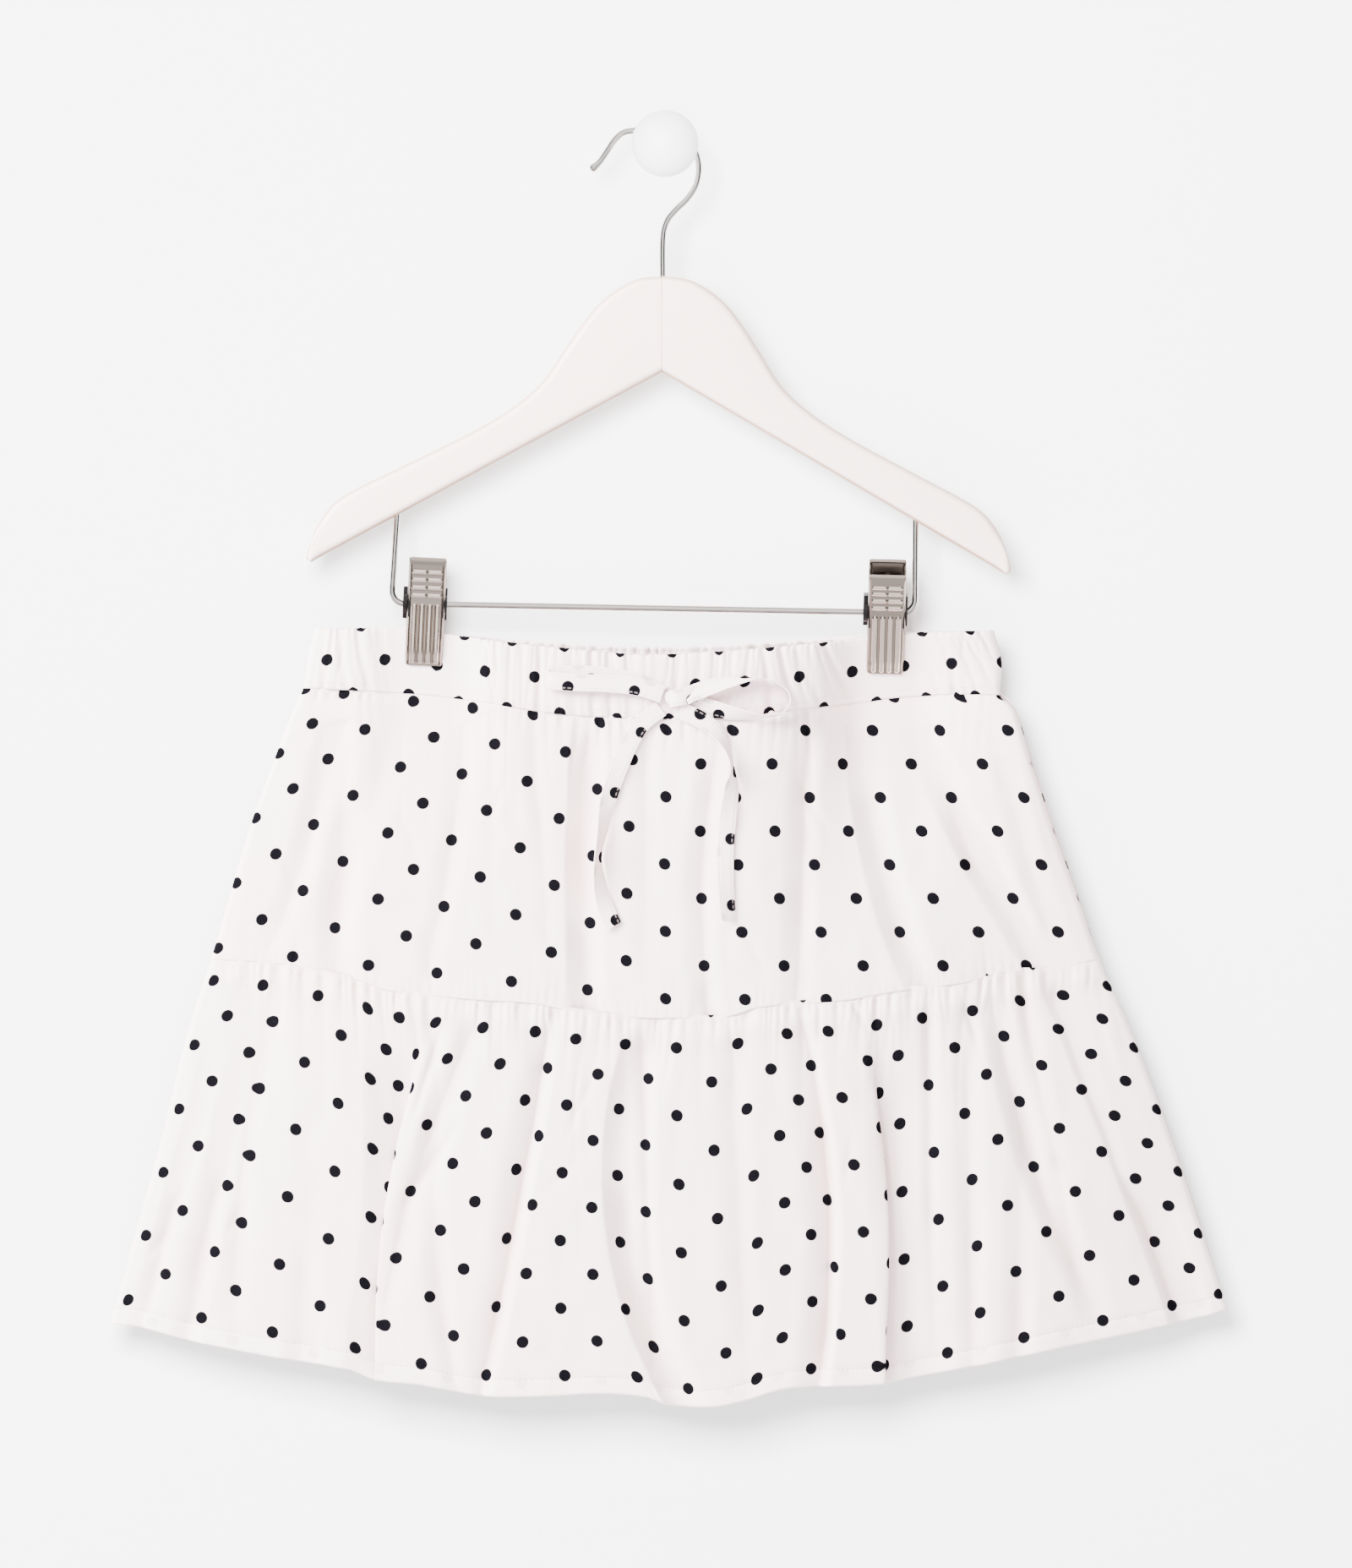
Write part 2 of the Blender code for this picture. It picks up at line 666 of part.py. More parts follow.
def tape_side(along, twist, last_side):
    """Direction across a strand that lies flat, kept from flipping over at a turn."""
    if abs(along.dot(FORWARD)) > TURN_LIMIT:
        side = Vector((0.0, 0.0, 1.0))
        free = True
    else:
        side = along.cross(FORWARD).normalized()
        free = twist == 0
    if last_side and free and side.dot(last_side) < 0.0:
        side = -side
    return side


def tape_grid(rows):
    """Cross sections of a tape along its strand: four corners for each step."""
    count = (len(rows) - 1) * TAPE_STEPS + 1
    stations = [table_row(rows, index / TAPE_STEPS) for index in range(count)]
    points = [tape_middle(row) for row in stations]
    sections = []
    side = None
    for index, (row, point) in enumerate(zip(stations, points)):
        ahead = points[min(index + 1, count - 1)]
        behind = points[max(index - 1, 0)]
        along = (ahead - behind).normalized()
        side = tape_side(along, row.twist, side)
        face = side.cross(along).normalized()
        twist = math.radians(row.twist)
        wide = side * math.cos(twist) + face * math.sin(twist)
        thin = wide.cross(along).normalized()
        half_wide = wide * (TAPE_WIDTH / 2)
        half_thin = thin * (TAPE_CLOTH / 2)
        sections.append([
            point + half_wide + half_thin,
            point + half_wide - half_thin,
            point - half_wide - half_thin,
            point - half_wide + half_thin,
        ])
    return sections


def add_tape(name, rows, group):
    """One strand of the bow as a closed flat band."""
    sections = tape_grid(rows)
    form = bmesh.new()
    rings = [[form.verts.new(point * MM) for point in section] for section in sections]
    for ring, following in zip(rings, rings[1:]):
        for index in range(4):
            other = (index + 1) % 4
            form.faces.new((ring[index], ring[other], following[other], following[index]))
    form.faces.new(list(reversed(rings[0])))
    form.faces.new(rings[-1])
    bmesh.ops.recalc_face_normals(form, faces=form.faces)
    mesh = bpy.data.meshes.new(name)
    form.to_mesh(mesh)
    form.free()
    mesh.shade_smooth()
    mesh.set_sharp_from_angle(angle=math.radians(40))
    return add_object(name, mesh, COTTON, group)


def add_knot(group):
    """The wrap where the tape is tied and tacked to the front."""
    form = bmesh.new()
    bmesh.ops.create_uvsphere(form, u_segments=12, v_segments=7, radius=0.5)
    mesh = bpy.data.meshes.new("tie_knot")
    form.to_mesh(mesh)
    form.free()
    x, z = KNOT_AT
    wide, deep, tall = KNOT_SIZE
    y = clear_face(x, z) - KNOT_LIFT - deep / 2
    mesh.transform(Matrix.Diagonal((wide * MM, deep * MM, tall * MM, 1.0)))
    mesh.shade_smooth()
    knot = add_object("tie_knot", mesh, COTTON, group)
    knot.location = Vector((x, y, z)) * MM
    return knot


def build_bow(group):
    """Two loops and two tails around one knot."""
    add_tape("tie_loop_left", LOOP_LEFT, group)
    add_tape("tie_loop_right", LOOP_RIGHT, group)
    add_tape("tie_tail_left", TAIL_LEFT, group)
    add_tape("tie_tail_right", TAIL_RIGHT, group)
    add_knot(group)


# ---- The hanger ----

# Half of the hanger's outline from the top to the tip, measured from the notch with
# the hanger level: x out from the middle, z up.
OutlinePoint = namedtuple("OutlinePoint", "x z")
ARM_OUTLINE = (
    OutlinePoint(0.0, 41.0),
    OutlinePoint(12.4, 39.0),
    OutlinePoint(25.0, 31.0),
    OutlinePoint(34.0, 20.4),
    OutlinePoint(42.0, 8.4),
    OutlinePoint(51.0, -5.0),
    OutlinePoint(63.0, -15.8),
    OutlinePoint(80.0, -26.6),
    OutlinePoint(109.0, -41.6),
    OutlinePoint(128.0, -51.2),
    OutlinePoint(138.0, -57.6),
    OutlinePoint(144.6, -66.0),
    OutlinePoint(148.6, -75.6),
    OutlinePoint(150.2, -81.8),
)
ARM_TIP = OutlinePoint(148.2, -83.5)
OUTLINE_STEPS = 2


def smooth_outline(points, steps):
    """Points along a smooth curve through the given ones."""
    count = (len(points) - 1) * steps
    return [table_row(points, index / steps) for index in range(count + 1)]


def hanger_outline():
    """The whole hanger seen from the front, level, as a closed loop."""
    half = [tuple(point) for point in smooth_outline(ARM_OUTLINE, OUTLINE_STEPS)]
    half.append(tuple(ARM_TIP))
    left = [(-x, z) for x, z in half[1:]]
    return half + [(0.0, 0.0)] + list(reversed(left))


def flat_curve(name, loops, thickness):
    """Flat curve filled on both sides and thickened along its own Z."""
    data = bpy.data.curves.new(name, "CURVE")
    data.dimensions = "2D"
    data.fill_mode = "BOTH"
    data.extrude = thickness * MM / 2
    for loop in loops:
        spline = data.splines.new("POLY")
        spline.points.add(len(loop) - 1)
        for point, (u, v) in zip(spline.points, loop):
            point.co = (u * MM, v * MM, 0.0, 1.0)
        spline.use_cyclic_u = True
    return data


def rounded_slab(name, outline, thickness, edge_round, round_steps=3):
    """Mesh of an outline with thickness whose rims are rounded all along.

    The outline runs clockwise in millimetres. Short edges, as at a tip, take a
    smaller round.
    """
    count = len(outline)
    points = [Vector(point) for point in outline]
    insets = []
    rounds = []
    for index, point in enumerate(points):
        back = point - points[index - 1]
        ahead = points[(index + 1) % count] - point
        side_back = Vector((back.y, -back.x)).normalized()
        side_ahead = Vector((ahead.y, -ahead.x)).normalized()
        middle = (side_back + side_ahead).normalized()
        insets.append(middle / middle.dot(side_back))
        rounds.append(min(edge_round, 0.6 * back.length, 0.6 * ahead.length))
    levels = []
    for step in range(round_steps + 1):
        angle = math.pi / 2 * step / round_steps
        levels.append((1.0 - math.sin(angle), 1.0 - math.cos(angle), 1.0))
    levels += [(inset, drop, -1.0) for inset, drop, _ in reversed(levels)]
    form = bmesh.new()
    rings = []
    for inset, drop, face in levels:
        ring = []
        for point, direction, radius in zip(points, insets, rounds):
            place = point + direction * (radius * inset)
            height = face * (thickness / 2 - radius * drop)
            ring.append(form.verts.new(Vector((place.x, place.y, height)) * MM))
        rings.append(ring)
    for ring, following in zip(rings, rings[1:]):
        for index in range(count):
            other = (index + 1) % count
            form.faces.new((ring[index], ring[other], following[other], following[index]))
    form.faces.new(list(reversed(rings[0])))
    form.faces.new(rings[-1])
    bmesh.ops.recalc_face_normals(form, faces=form.faces)
    mesh = bpy.data.meshes.new(name)
    form.to_mesh(mesh)
    form.free()
    return mesh


MERGE_DISTANCE = 0.000002


def to_mesh_object(piece, name, finish, group):
    """Replace a curve object by a mesh object of the same shape and place."""
    bpy.context.view_layer.update()
    evaluated = piece.evaluated_get(bpy.context.evaluated_depsgraph_get())
    mesh = bpy.data.meshes.new_from_object(evaluated)
    form = bmesh.new()
    form.from_mesh(mesh)
    bmesh.ops.remove_doubles(form, verts=form.verts, dist=MERGE_DISTANCE)
    form.to_mesh(mesh)
    form.free()
    mesh.materials.clear()
    matrix = piece.matrix_world.copy()
    bpy.data.objects.remove(piece, do_unlink=True)
    solid = add_object(name, mesh, finish, group)
    solid.matrix_world = matrix
    return solid


def add_cutter(name, mesh, matrix, cutters):
    """Hidden solid that a Boolean cuts with."""
    cutter = bpy.data.objects.new(name, mesh)
    cutter.hide_render = True
    cutter.display_type = "WIRE"
    cutters.objects.link(cutter)
    cutter.matrix_world = matrix
    return cutter


def box_cutter(name, low, high, cutters):
    """Box between two corners given in millimetres."""
    form = bmesh.new()
    bmesh.ops.create_cube(form, size=1.0)
    mesh = bpy.data.meshes.new(name)
    form.to_mesh(mesh)
    form.free()
    size = [(b - a) * MM for a, b in zip(low, high)]
    centre = Vector([(a + b) * MM / 2 for a, b in zip(low, high)])
    mesh.transform(Matrix.Diagonal((*size, 1.0)))
    return add_cutter(name, mesh, Matrix.Translation(centre), cutters)


DRILL_SEGMENTS = 16


def drill_cutter(name, start, end, radius, cutters):
    """Round cutter between two points given in millimetres."""
    form = bmesh.new()
    length = (end - start).length
    bmesh.ops.create_cone(
        form,
        cap_ends=True,
        segments=DRILL_SEGMENTS,
        radius1=radius * MM,
        radius2=radius * MM,
        depth=length * MM,
    )
    mesh = bpy.data.meshes.new(name)
    form.to_mesh(mesh)
    form.free()
    turn = (end - start).to_track_quat("Z", "Y").to_matrix().to_4x4()
    matrix = Matrix.Translation((start + end) * MM / 2) @ turn
    return add_cutter(name, mesh, matrix, cutters)


def boolean(piece, other, operation):
    """Cut or join a piece with another solid."""
    step = piece.modifiers.new(other.name, "BOOLEAN")
    step.operation = operation
    step.solver = "EXACT"
    step.object = other


def hanger_matrix():
    """Place of the level hanger outline: its Z becomes the depth."""
    place = Matrix.Translation(Vector((HANGER_NOTCH[0], -HANG_DEPTH, HANGER_NOTCH[1])) * MM)
    tilt = Matrix.Rotation(HANGER_TILT, 4, "Y")
    upright = Matrix.Rotation(math.pi / 2, 4, "X")
    return place @ tilt @ upright


def build_hanger(group, cutters):
    """The wooden hanger: one rounded outline, split at the glue seam."""
    bar_ends = bar_corners()
    for side in ("left", "right"):
        name = "hanger_arm_" + side
        slab = rounded_slab(name, hanger_outline(), HANGER_THICKNESS, HANGER_EDGE_ROUND)
        slab.shade_smooth()
        slab.set_sharp_from_angle(angle=math.radians(40))
        arm = add_object(name, slab, PAINTED_WOOD, group)
        arm.matrix_world = hanger_matrix()
        if side == "left":
            near, far = GLUE_SEAM_X - HALF_GAP, ARM_ROOM
            inner, outer = bar_ends[1], bar_ends[0]
        else:
            near, far = -ARM_ROOM, GLUE_SEAM_X + HALF_GAP
            inner, outer = bar_ends[2], bar_ends[3]
        low = (near, -HANG_DEPTH - HANGER_THICKNESS, -ARM_ROOM)
        high = (far, -HANG_DEPTH + HANGER_THICKNESS, 0.0)
        boolean(arm, box_cutter("other_half_" + side, low, high, cutters), "DIFFERENCE")
        hook_end = Vector((HOOK_SHANK[-1][0], -HANG_DEPTH, HOOK_SHANK[-1][1]))
        up = Vector((0.0, 0.0, 1.0))
        wires = (
            ("hook_hole_", hook_end, up, HOOK_WIRE),
            ("bar_hole_", outer, (inner - outer).normalized(), BAR_WIRE),
        )
        for name_start, end, direction, wire in wires:
            start = end - direction * HOLE_CLEARANCE
            stop = end + direction * HOLE_LENGTH
            hole = drill_cutter(name_start + side, start, stop, wire / 2 + SEAM_GAP, cutters)
            boolean(arm, hole, "DIFFERENCE")


# ---- Wires ----

# The hook seen from the front: the free end, the round of the hook as an arc, and
# the shank down into the wood.
HOOK_FREE_END = (
    (-30.6, -10.2),
    (-28.4, -8.6),
    (-26.4, -6.3),
    (-23.5, -1.8),
    (-20.9, 2.4),
    (-17.6, 5.4),
)
HOOK_ROUND_CENTRE = (-4.0, -9.9)
HOOK_ROUND_RADIUS = 18.7
HOOK_ROUND_FROM = math.radians(118.0)
HOOK_ROUND_TO = math.radians(-6.0)
HOOK_ROUND_STEPS = 9
HOOK_BEAD = (1.15, 1.35)
HOOK_SHANK = (
    (14.0, -16.6),
    (11.4, -22.4),
    (6.6, -27.4),
    (2.2, -31.6),
    (-0.3, -36.0),
    (-0.9, -42.0),
    (-0.9, -54.0),
    (-0.9, -55.6 - HOOK_SOCKET),
)
BAR_LEFT_TOP = (-114.1, -158.2)
BAR_LEFT_CORNER = (-116.7, -195.2)
BAR_RIGHT_CORNER = (106.5, -199.2)
BAR_RIGHT_TOP = (106.6, -160.7)
BAR_BEND_STEPS = 5


def wire_curve(name, points, wire, finish, group, radii=None):
    """Round wire through points given in millimetres, with filled ends."""
    data = bpy.data.curves.new(name, "CURVE")
    data.dimensions = "3D"
    data.bevel_depth = wire * MM / 2
    data.bevel_resolution = 2
    data.use_fill_caps = True
    spline = data.splines.new("POLY")
    spline.points.add(len(points) - 1)
    for index, (slot, point) in enumerate(zip(spline.points, points)):
        slot.co = (*(Vector(point) * MM), 1.0)
        slot.radius = radii[index] if radii else 1.0
    return add_object(name, data, finish, group)


def build_hook(group):
    """Wire hook with a small bead at its free end."""
    centre_x, centre_z = HOOK_ROUND_CENTRE
    route = list(HOOK_FREE_END)
    for index in range(HOOK_ROUND_STEPS + 1):
        angle = HOOK_ROUND_FROM + (HOOK_ROUND_TO - HOOK_ROUND_FROM) * index / HOOK_ROUND_STEPS
        x = centre_x + HOOK_ROUND_RADIUS * math.cos(angle)
        z = centre_z + HOOK_ROUND_RADIUS * math.sin(angle)
        route.append((x, z))
    route += HOOK_SHANK
    points = [(x, -HANG_DEPTH, z) for x, z in route]
    radii = list(HOOK_BEAD) + [1.0] * (len(points) - len(HOOK_BEAD))
    return wire_curve("hook", points, HOOK_WIRE, CHROME_WIRE, group, radii)


def bar_corners():
    """Ends and corners of the bar: left end, left corner, right corner, right end."""
    tops = []
    corners = (BAR_LEFT_TOP, BAR_LEFT_CORNER, BAR_RIGHT_CORNER, BAR_RIGHT_TOP)
    left_top, left_low, right_low, right_top = [Vector((x, -HANG_DEPTH, z)) for x, z in corners]
    for top, low in ((left_top, left_low), (right_top, right_low)):
        tops.append(top + (top - low).normalized() * BAR_SOCKET)
    return [tops[0], left_low, right_low, tops[1]]


def rounded_corner(before, corner, after, radius, steps):
    """Arc that rounds a corner between two straight runs."""
    into = (before - corner).normalized()
    out = (after - corner).normalized()
    half_angle = into.angle(out) / 2
    run = radius / math.tan(half_angle)
    centre = corner + (into + out).normalized() * (radius / math.sin(half_angle))
    start = corner + into * run - centre
    sweep = math.pi - 2.0 * half_angle
    axis = into.cross(out).normalized()
    points = []
    for index in range(steps + 1):
        turn = Matrix.Rotation(-sweep * index / steps, 3, axis)
        points.append(centre + turn @ start)
    return points


def build_bar(group):
    """Wire bar whose ends go up into the hanger."""
    left_end, left_corner, right_corner, right_end = bar_corners()
    route = [left_end]
    route += rounded_corner(left_end, left_corner, right_corner, BAR_BEND, BAR_BEND_STEPS)
    route += rounded_corner(left_corner, right_corner, right_end, BAR_BEND, BAR_BEND_STEPS)
    route.append(right_end)
    return wire_curve("bar", route, BAR_WIRE, CHROME_WIRE, group)


# ---- Clips ----

EAR_NOSE_STEPS = 6
EAR_HOLE_STEPS = 12
SPRING_TURN_STEPS = 9


def plate_outline(points, thickness):
    """Closed outline around a middle line, half the steel to each side."""
    line = [Vector(point) for point in points]
    left = []
    right = []
    for index, point in enumerate(line):
        ahead = line[min(index + 1, len(line) - 1)]
        behind = line[max(index - 1, 0)]
        along = (ahead - behind).normalized()
        normal = Vector((-along.y, along.x))
        left.append(tuple(point + normal * thickness / 2))
        right.append(tuple(point - normal * thickness / 2))
    return left + list(reversed(right))


def ear_outline(reach_forward, hole):
    """Ear from the plate to past the bar, with the bar's hole."""
    outline = [(reach_forward, EAR_TOP), (reach_forward, EAR_BOTTOM)]
    for index in range(EAR_NOSE_STEPS + 1):
        angle = -math.pi / 2 - math.pi * index / EAR_NOSE_STEPS
        outline.append((EAR_NOSE * math.cos(angle), EAR_NOSE * math.sin(angle)))
    ring = []
    for index in range(EAR_HOLE_STEPS):
        angle = 2.0 * math.pi * index / EAR_HOLE_STEPS
        ring.append((hole * math.cos(angle), hole * math.sin(angle)))
    return [outline, ring]


def clip_matrix(clip, side):
    """Frame of a plate: local X is forward from the bar, Y up, Z across."""
    place = Matrix.Translation(Vector((clip.x, -HANG_DEPTH, clip.z)) * MM)
    lean = Matrix.Rotation(clip.lean, 4, "Y")
    pitch = Matrix.Rotation(clip.pitch, 4, "X")
    forward = -1.0 if side == "front" else 1.0
    axes = Matrix((
        (0.0, 0.0, forward, 0.0),
        (forward, 0.0, 0.0, 0.0),
        (0.0, 1.0, 0.0, 0.0),
        (0.0, 0.0, 0.0, 1.0),
    ))
    return place @ lean @ pitch @ axes


def curve_solid(name, loops, thickness, matrix, shift, finish, group):
    """Mesh solid of a flat outline, shifted along the clip's width."""
    data = flat_curve(name, loops, thickness)
    blank = bpy.data.objects.new(name + "_blank", data)
    group.objects.link(blank)
    blank.matrix_world = matrix @ Matrix.Translation(Vector((0.0, 0.0, shift * MM)))
    return to_mesh_object(blank, name, finish, group)


def add_plate(clip, side, group, cutters):
    """One sprung plate of a clip, with an ear at each end of the bar's hole."""
    name = "clip_{}_{}".format(clip.name, side)
    matrix = clip_matrix(clip, side)
    outline = plate_outline(CLIP_PLATE, CLIP_STEEL)
    plate = curve_solid(name, [outline], CLIP_WIDTH, matrix, 0.0, NICKEL, group)
    ear_shift = CLIP_WIDTH / 2 - CLIP_STEEL / 2
    hole = FRONT_EAR_HOLE
    if side == "back":
        hole = BACK_EAR_HOLE
        ear_shift += CLIP_STEEL + SEAM_GAP
        yoke_line = [point for point in CLIP_PLATE if abs(point.up) < YOKE_REACH]
        yoke = plate_outline(yoke_line, CLIP_STEEL * 1.02)
        width = 2.0 * ear_shift + CLIP_STEEL
        wide = curve_solid(name + "_yoke", [yoke], width, matrix, 0.0, NICKEL, cutters)
        wide.hide_render = True
        wide.display_type = "WIRE"
        boolean(plate, wide, "UNION")
    for end, shift in (("a", ear_shift), ("b", -ear_shift)):
        loops = ear_outline(EAR_REACH, hole)
        ear = curve_solid(name + "_ear_" + end, loops, CLIP_STEEL, matrix, shift, NICKEL, cutters)
        ear.hide_render = True
        ear.display_type = "WIRE"
        boolean(plate, ear, "UNION")
    return plate


def add_spring(clip, group):
    """Torsion spring round the bar, one leg on each plate."""
    radius = BAR_WIRE / 2 + SPRING_CLEARANCE + SPRING_WIRE / 2
    count = SPRING_TURNS * SPRING_TURN_STEPS
    local = [(SPRING_LEG_FORWARD, SPRING_LEG_TOP, -SPRING_HALF_LENGTH)]
    for index in range(count + 1):
        angle = math.pi / 2 - 2.0 * math.pi * index / SPRING_TURN_STEPS
        along = -SPRING_HALF_LENGTH + 2.0 * SPRING_HALF_LENGTH * index / count
        local.append((radius * math.sin(angle), -radius * math.cos(angle), along))
    local.append((-SPRING_LEG_FORWARD, SPRING_LEG_TOP, SPRING_HALF_LENGTH))
    frame = clip_matrix(clip, "front")
    points = [(frame @ (Vector(point) * MM)) / MM for point in local]
    name = "clip_{}_spring".format(clip.name)
    return wire_curve(name, points, SPRING_WIRE, SPRING_STEEL, group)


def build_clips(group, cutters):
    """Both clips: two plates and a spring each."""
    for clip in CLIPS:
        add_plate(clip, "front", group, cutters)
        add_plate(clip, "back", group, cutters)
        add_spring(clip, group)


# ---- Knob ----

KNOB_PROFILE_STEPS = 12
KNOB_TURN_STEPS = 28


def knob_profile():
    """Outer side of the knob from the wall to the front of the ball: radius, height."""
    neck = math.asin(KNOB_STEM_RADIUS / KNOB_BALL_RADIUS)
    stop = math.pi / 2 - neck
    profile = [(0.0, 0.0), (KNOB_STEM_RADIUS, 0.0)]
    for index in range(KNOB_PROFILE_STEPS):
        angle = stop - (stop + math.pi / 2) * index / KNOB_PROFILE_STEPS
        radius = KNOB_BALL_RADIUS * math.cos(angle)
        profile.append((radius, -KNOB_BALL_DEPTH + KNOB_BALL_RADIUS * math.sin(angle)))
    profile.append((0.0, -KNOB_BALL_DEPTH - KNOB_BALL_RADIUS))
    return profile


def build_knob(group):
    """Turned ball knob on a straight stem, its flat back on the wall."""
    form = bmesh.new()
    verts = [form.verts.new((radius * MM, 0.0, height * MM)) for radius, height in knob_profile()]
    for first, second in zip(verts, verts[1:]):
        form.edges.new((first, second))
    mesh = bpy.data.meshes.new("wall_knob")
    form.to_mesh(mesh)
    form.free()
    knob = add_object("wall_knob", mesh, KNOB_PAINT, group)
    knob.rotation_euler = (-math.pi / 2, 0.0, 0.0)
    turned = knob.modifiers.new("Turned", "SCREW")
    turned.steps = KNOB_TURN_STEPS
    turned.render_steps = KNOB_TURN_STEPS
    turned.use_merge_vertices = True
    turned.merge_threshold = 0.00001
    turned.use_normal_calculate = True
    turned.use_smooth_shade = True
    return knob


def main():
    """Build the whole model."""
    clear_scene()
    group = new_collection("skort_on_hanger")
    cutters = new_collection("cutters")
    build_knob(group)
    build_hook(group)
    build_hanger(group, cutters)
    build_bar(group)
    build_clips(group, cutters)
    build_skirt(group)
    build_shorts(group)
    build_bow(group)


main()
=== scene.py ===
"""Looks of a child's dotted two-tier skort on a wooden clip hanger.

The origin is the centre of the wall knob's flat back. X runs to the right, Z up, and the
front of the skort faces -Y. Tables are in millimetres, or in pixels of the photograph
where their comment says so, and meshes are in metres.
"""

import math
from collections import namedtuple

import bmesh
import bpy
import numpy as np
from bpy.props import FloatProperty, FloatVectorProperty, PointerProperty
from mathutils import Matrix, Vector
from mathutils.bvhtree import BVHTree


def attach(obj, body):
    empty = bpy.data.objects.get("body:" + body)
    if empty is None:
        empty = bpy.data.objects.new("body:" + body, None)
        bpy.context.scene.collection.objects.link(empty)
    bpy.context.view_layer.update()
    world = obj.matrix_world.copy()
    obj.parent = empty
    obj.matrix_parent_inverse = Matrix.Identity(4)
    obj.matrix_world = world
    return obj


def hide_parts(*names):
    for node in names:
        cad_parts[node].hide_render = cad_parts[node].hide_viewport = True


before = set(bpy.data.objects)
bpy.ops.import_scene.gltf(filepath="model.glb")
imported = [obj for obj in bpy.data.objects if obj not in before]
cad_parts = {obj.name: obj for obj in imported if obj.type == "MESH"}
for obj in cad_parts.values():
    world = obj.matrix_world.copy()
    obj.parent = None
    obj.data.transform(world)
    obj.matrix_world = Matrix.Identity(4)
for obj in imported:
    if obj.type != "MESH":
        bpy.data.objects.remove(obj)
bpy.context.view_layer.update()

bl_info = {
    "name": "Dotted skort on a clip hanger",
    "version": (1, 0, 0),
    "blender": (4, 5, 0),
    "location": "3D View > Sidebar > Skort",
    "description": "Makes the cloth, hanger, clips, knob and stage of a hanging skort",
    "category": "Object",
}

MM = 0.001
BODY = "root"
SIDES = ("front", "back")
# The sharpest turn between two faces, in degrees, that each kind of piece still smooths.
ALL_SMOOTH = 180.0
TAPE_SMOOTH = 50.0
WOOD_SMOOTH = 35.0
METAL_SMOOTH = 60.0
KNOB_SMOOTH = 40.0
EAR_SMOOTH = 30.0


def table(kind, *rows):
    """Rows of one kind from plain tuples."""
    return tuple(kind(*row) for row in rows)


# ---- The photograph's scale ----

PX = 0.36
PX_ZERO_X = 787.0
PX_ZERO_Z = 171.6
HANG_DEPTH = 24.0


def px_x(value):
    """Millimetres to the right of the knob for a pixel column."""
    return (np.asarray(value, float) - PX_ZERO_X) * PX


def px_z(value):
    """Millimetres above the knob for a pixel row."""
    return (PX_ZERO_Z - np.asarray(value, float)) * PX


# ---- The skirt's rings, from the waist down, as in the solid model ----

Ring = namedtuple(
    "Ring", "left_x right_x left_z right_z sag back_sag power front_depth back_depth"
)
RINGS = table(
    Ring,
    (-148.3, 139.2, -205.8, -206.6, 10.8, 7.2, 2.6, 8.2, 7.8),
    (-151.2, 142.4, -218.6, -219.4, 11.8, 8.6, 2.5, 8.6, 8.1),
    (-153.4, 142, -231.4, -232.2, 12.9, 10, 2.3, 8.9, 8.4),
    (-157, 148.6, -239, -239.8, 14.2, 11, 2.2, 9.9, 9.2),
    (-166.4, 156.4, -264, -264.6, 16.8, 14, 2, 11.2, 10.2),
    (-176.2, 165.4, -291, -291.4, 19.6, 17, 1.8, 12.4, 11.2),
    (-184.6, 175.2, -319, -319, 22.4, 20, 1.6, 13.5, 12.1),
    (-192.8, 184.4, -346.8, -346.8, 24.9, 23, 1.5, 14.6, 13.1),
    (-203.4, 198.6, -380, -378.4, 26.6, 24.6, 1.4, 16.6, 14.4),
    (-216, 216.6, -431, -427, 30, 27.6, 1.3, 19.2, 16.2),
    (-235.6, 239, -502, -495.4, 34, 31, 1.2, 22, 17.6),
)
BAND_TOP, WAIST_SEAM, TIER_SEAM, HEM = 0.0, 2.0, 7.0, 10.0

SIDE_ROUND = 2.0
SIDE_DOME = 2.2
PINCH_DEPTH = 1.3
RIM_GAP = 0.24
LAYER_STEP = 0.7
EDGE_FADE = 8.0
ROOM_ROUND = 0.8
Level = namedtuple("Level", "z value")
SHORTS_ROOM = table(
    Level,
    (-236, 2), (-239, 8.6), (-247, 3.4), (-266, 2.6), (-304, 3.2), (-352, 4.2), (-394, 5.6),
    (-438, 6.3), (-456, 2),
)

Clip = namedtuple("Clip", "name x z lean pitch front_rise back_rise")
CLIPS = table(
    Clip,
    ("left", -101.7, -195.5, math.radians(2.6), 0.0, 0.0, 0.0),
    ("right", 94.4, -199.0, math.radians(1.4), math.radians(18.0), -1.2, 1.9),
)
GRIP_FLAT = 10.0
GRIP_REACH = 32.0
SET_BACK_REACH = 58.0
SET_BACK = table(
    Level,
    (-199, 0), (-222, 7.5), (-235.5, 10.6), (-252, 10), (-284, 6.6), (-320, 2.2), (-346, 0),
)
GRIP = table(
    Level,
    (-200, 1), (-233, 1), (-252, 0.72), (-284, 0.25), (-320, 0),
)

# ---- Edge lines of the front, in pixels of the photograph ----

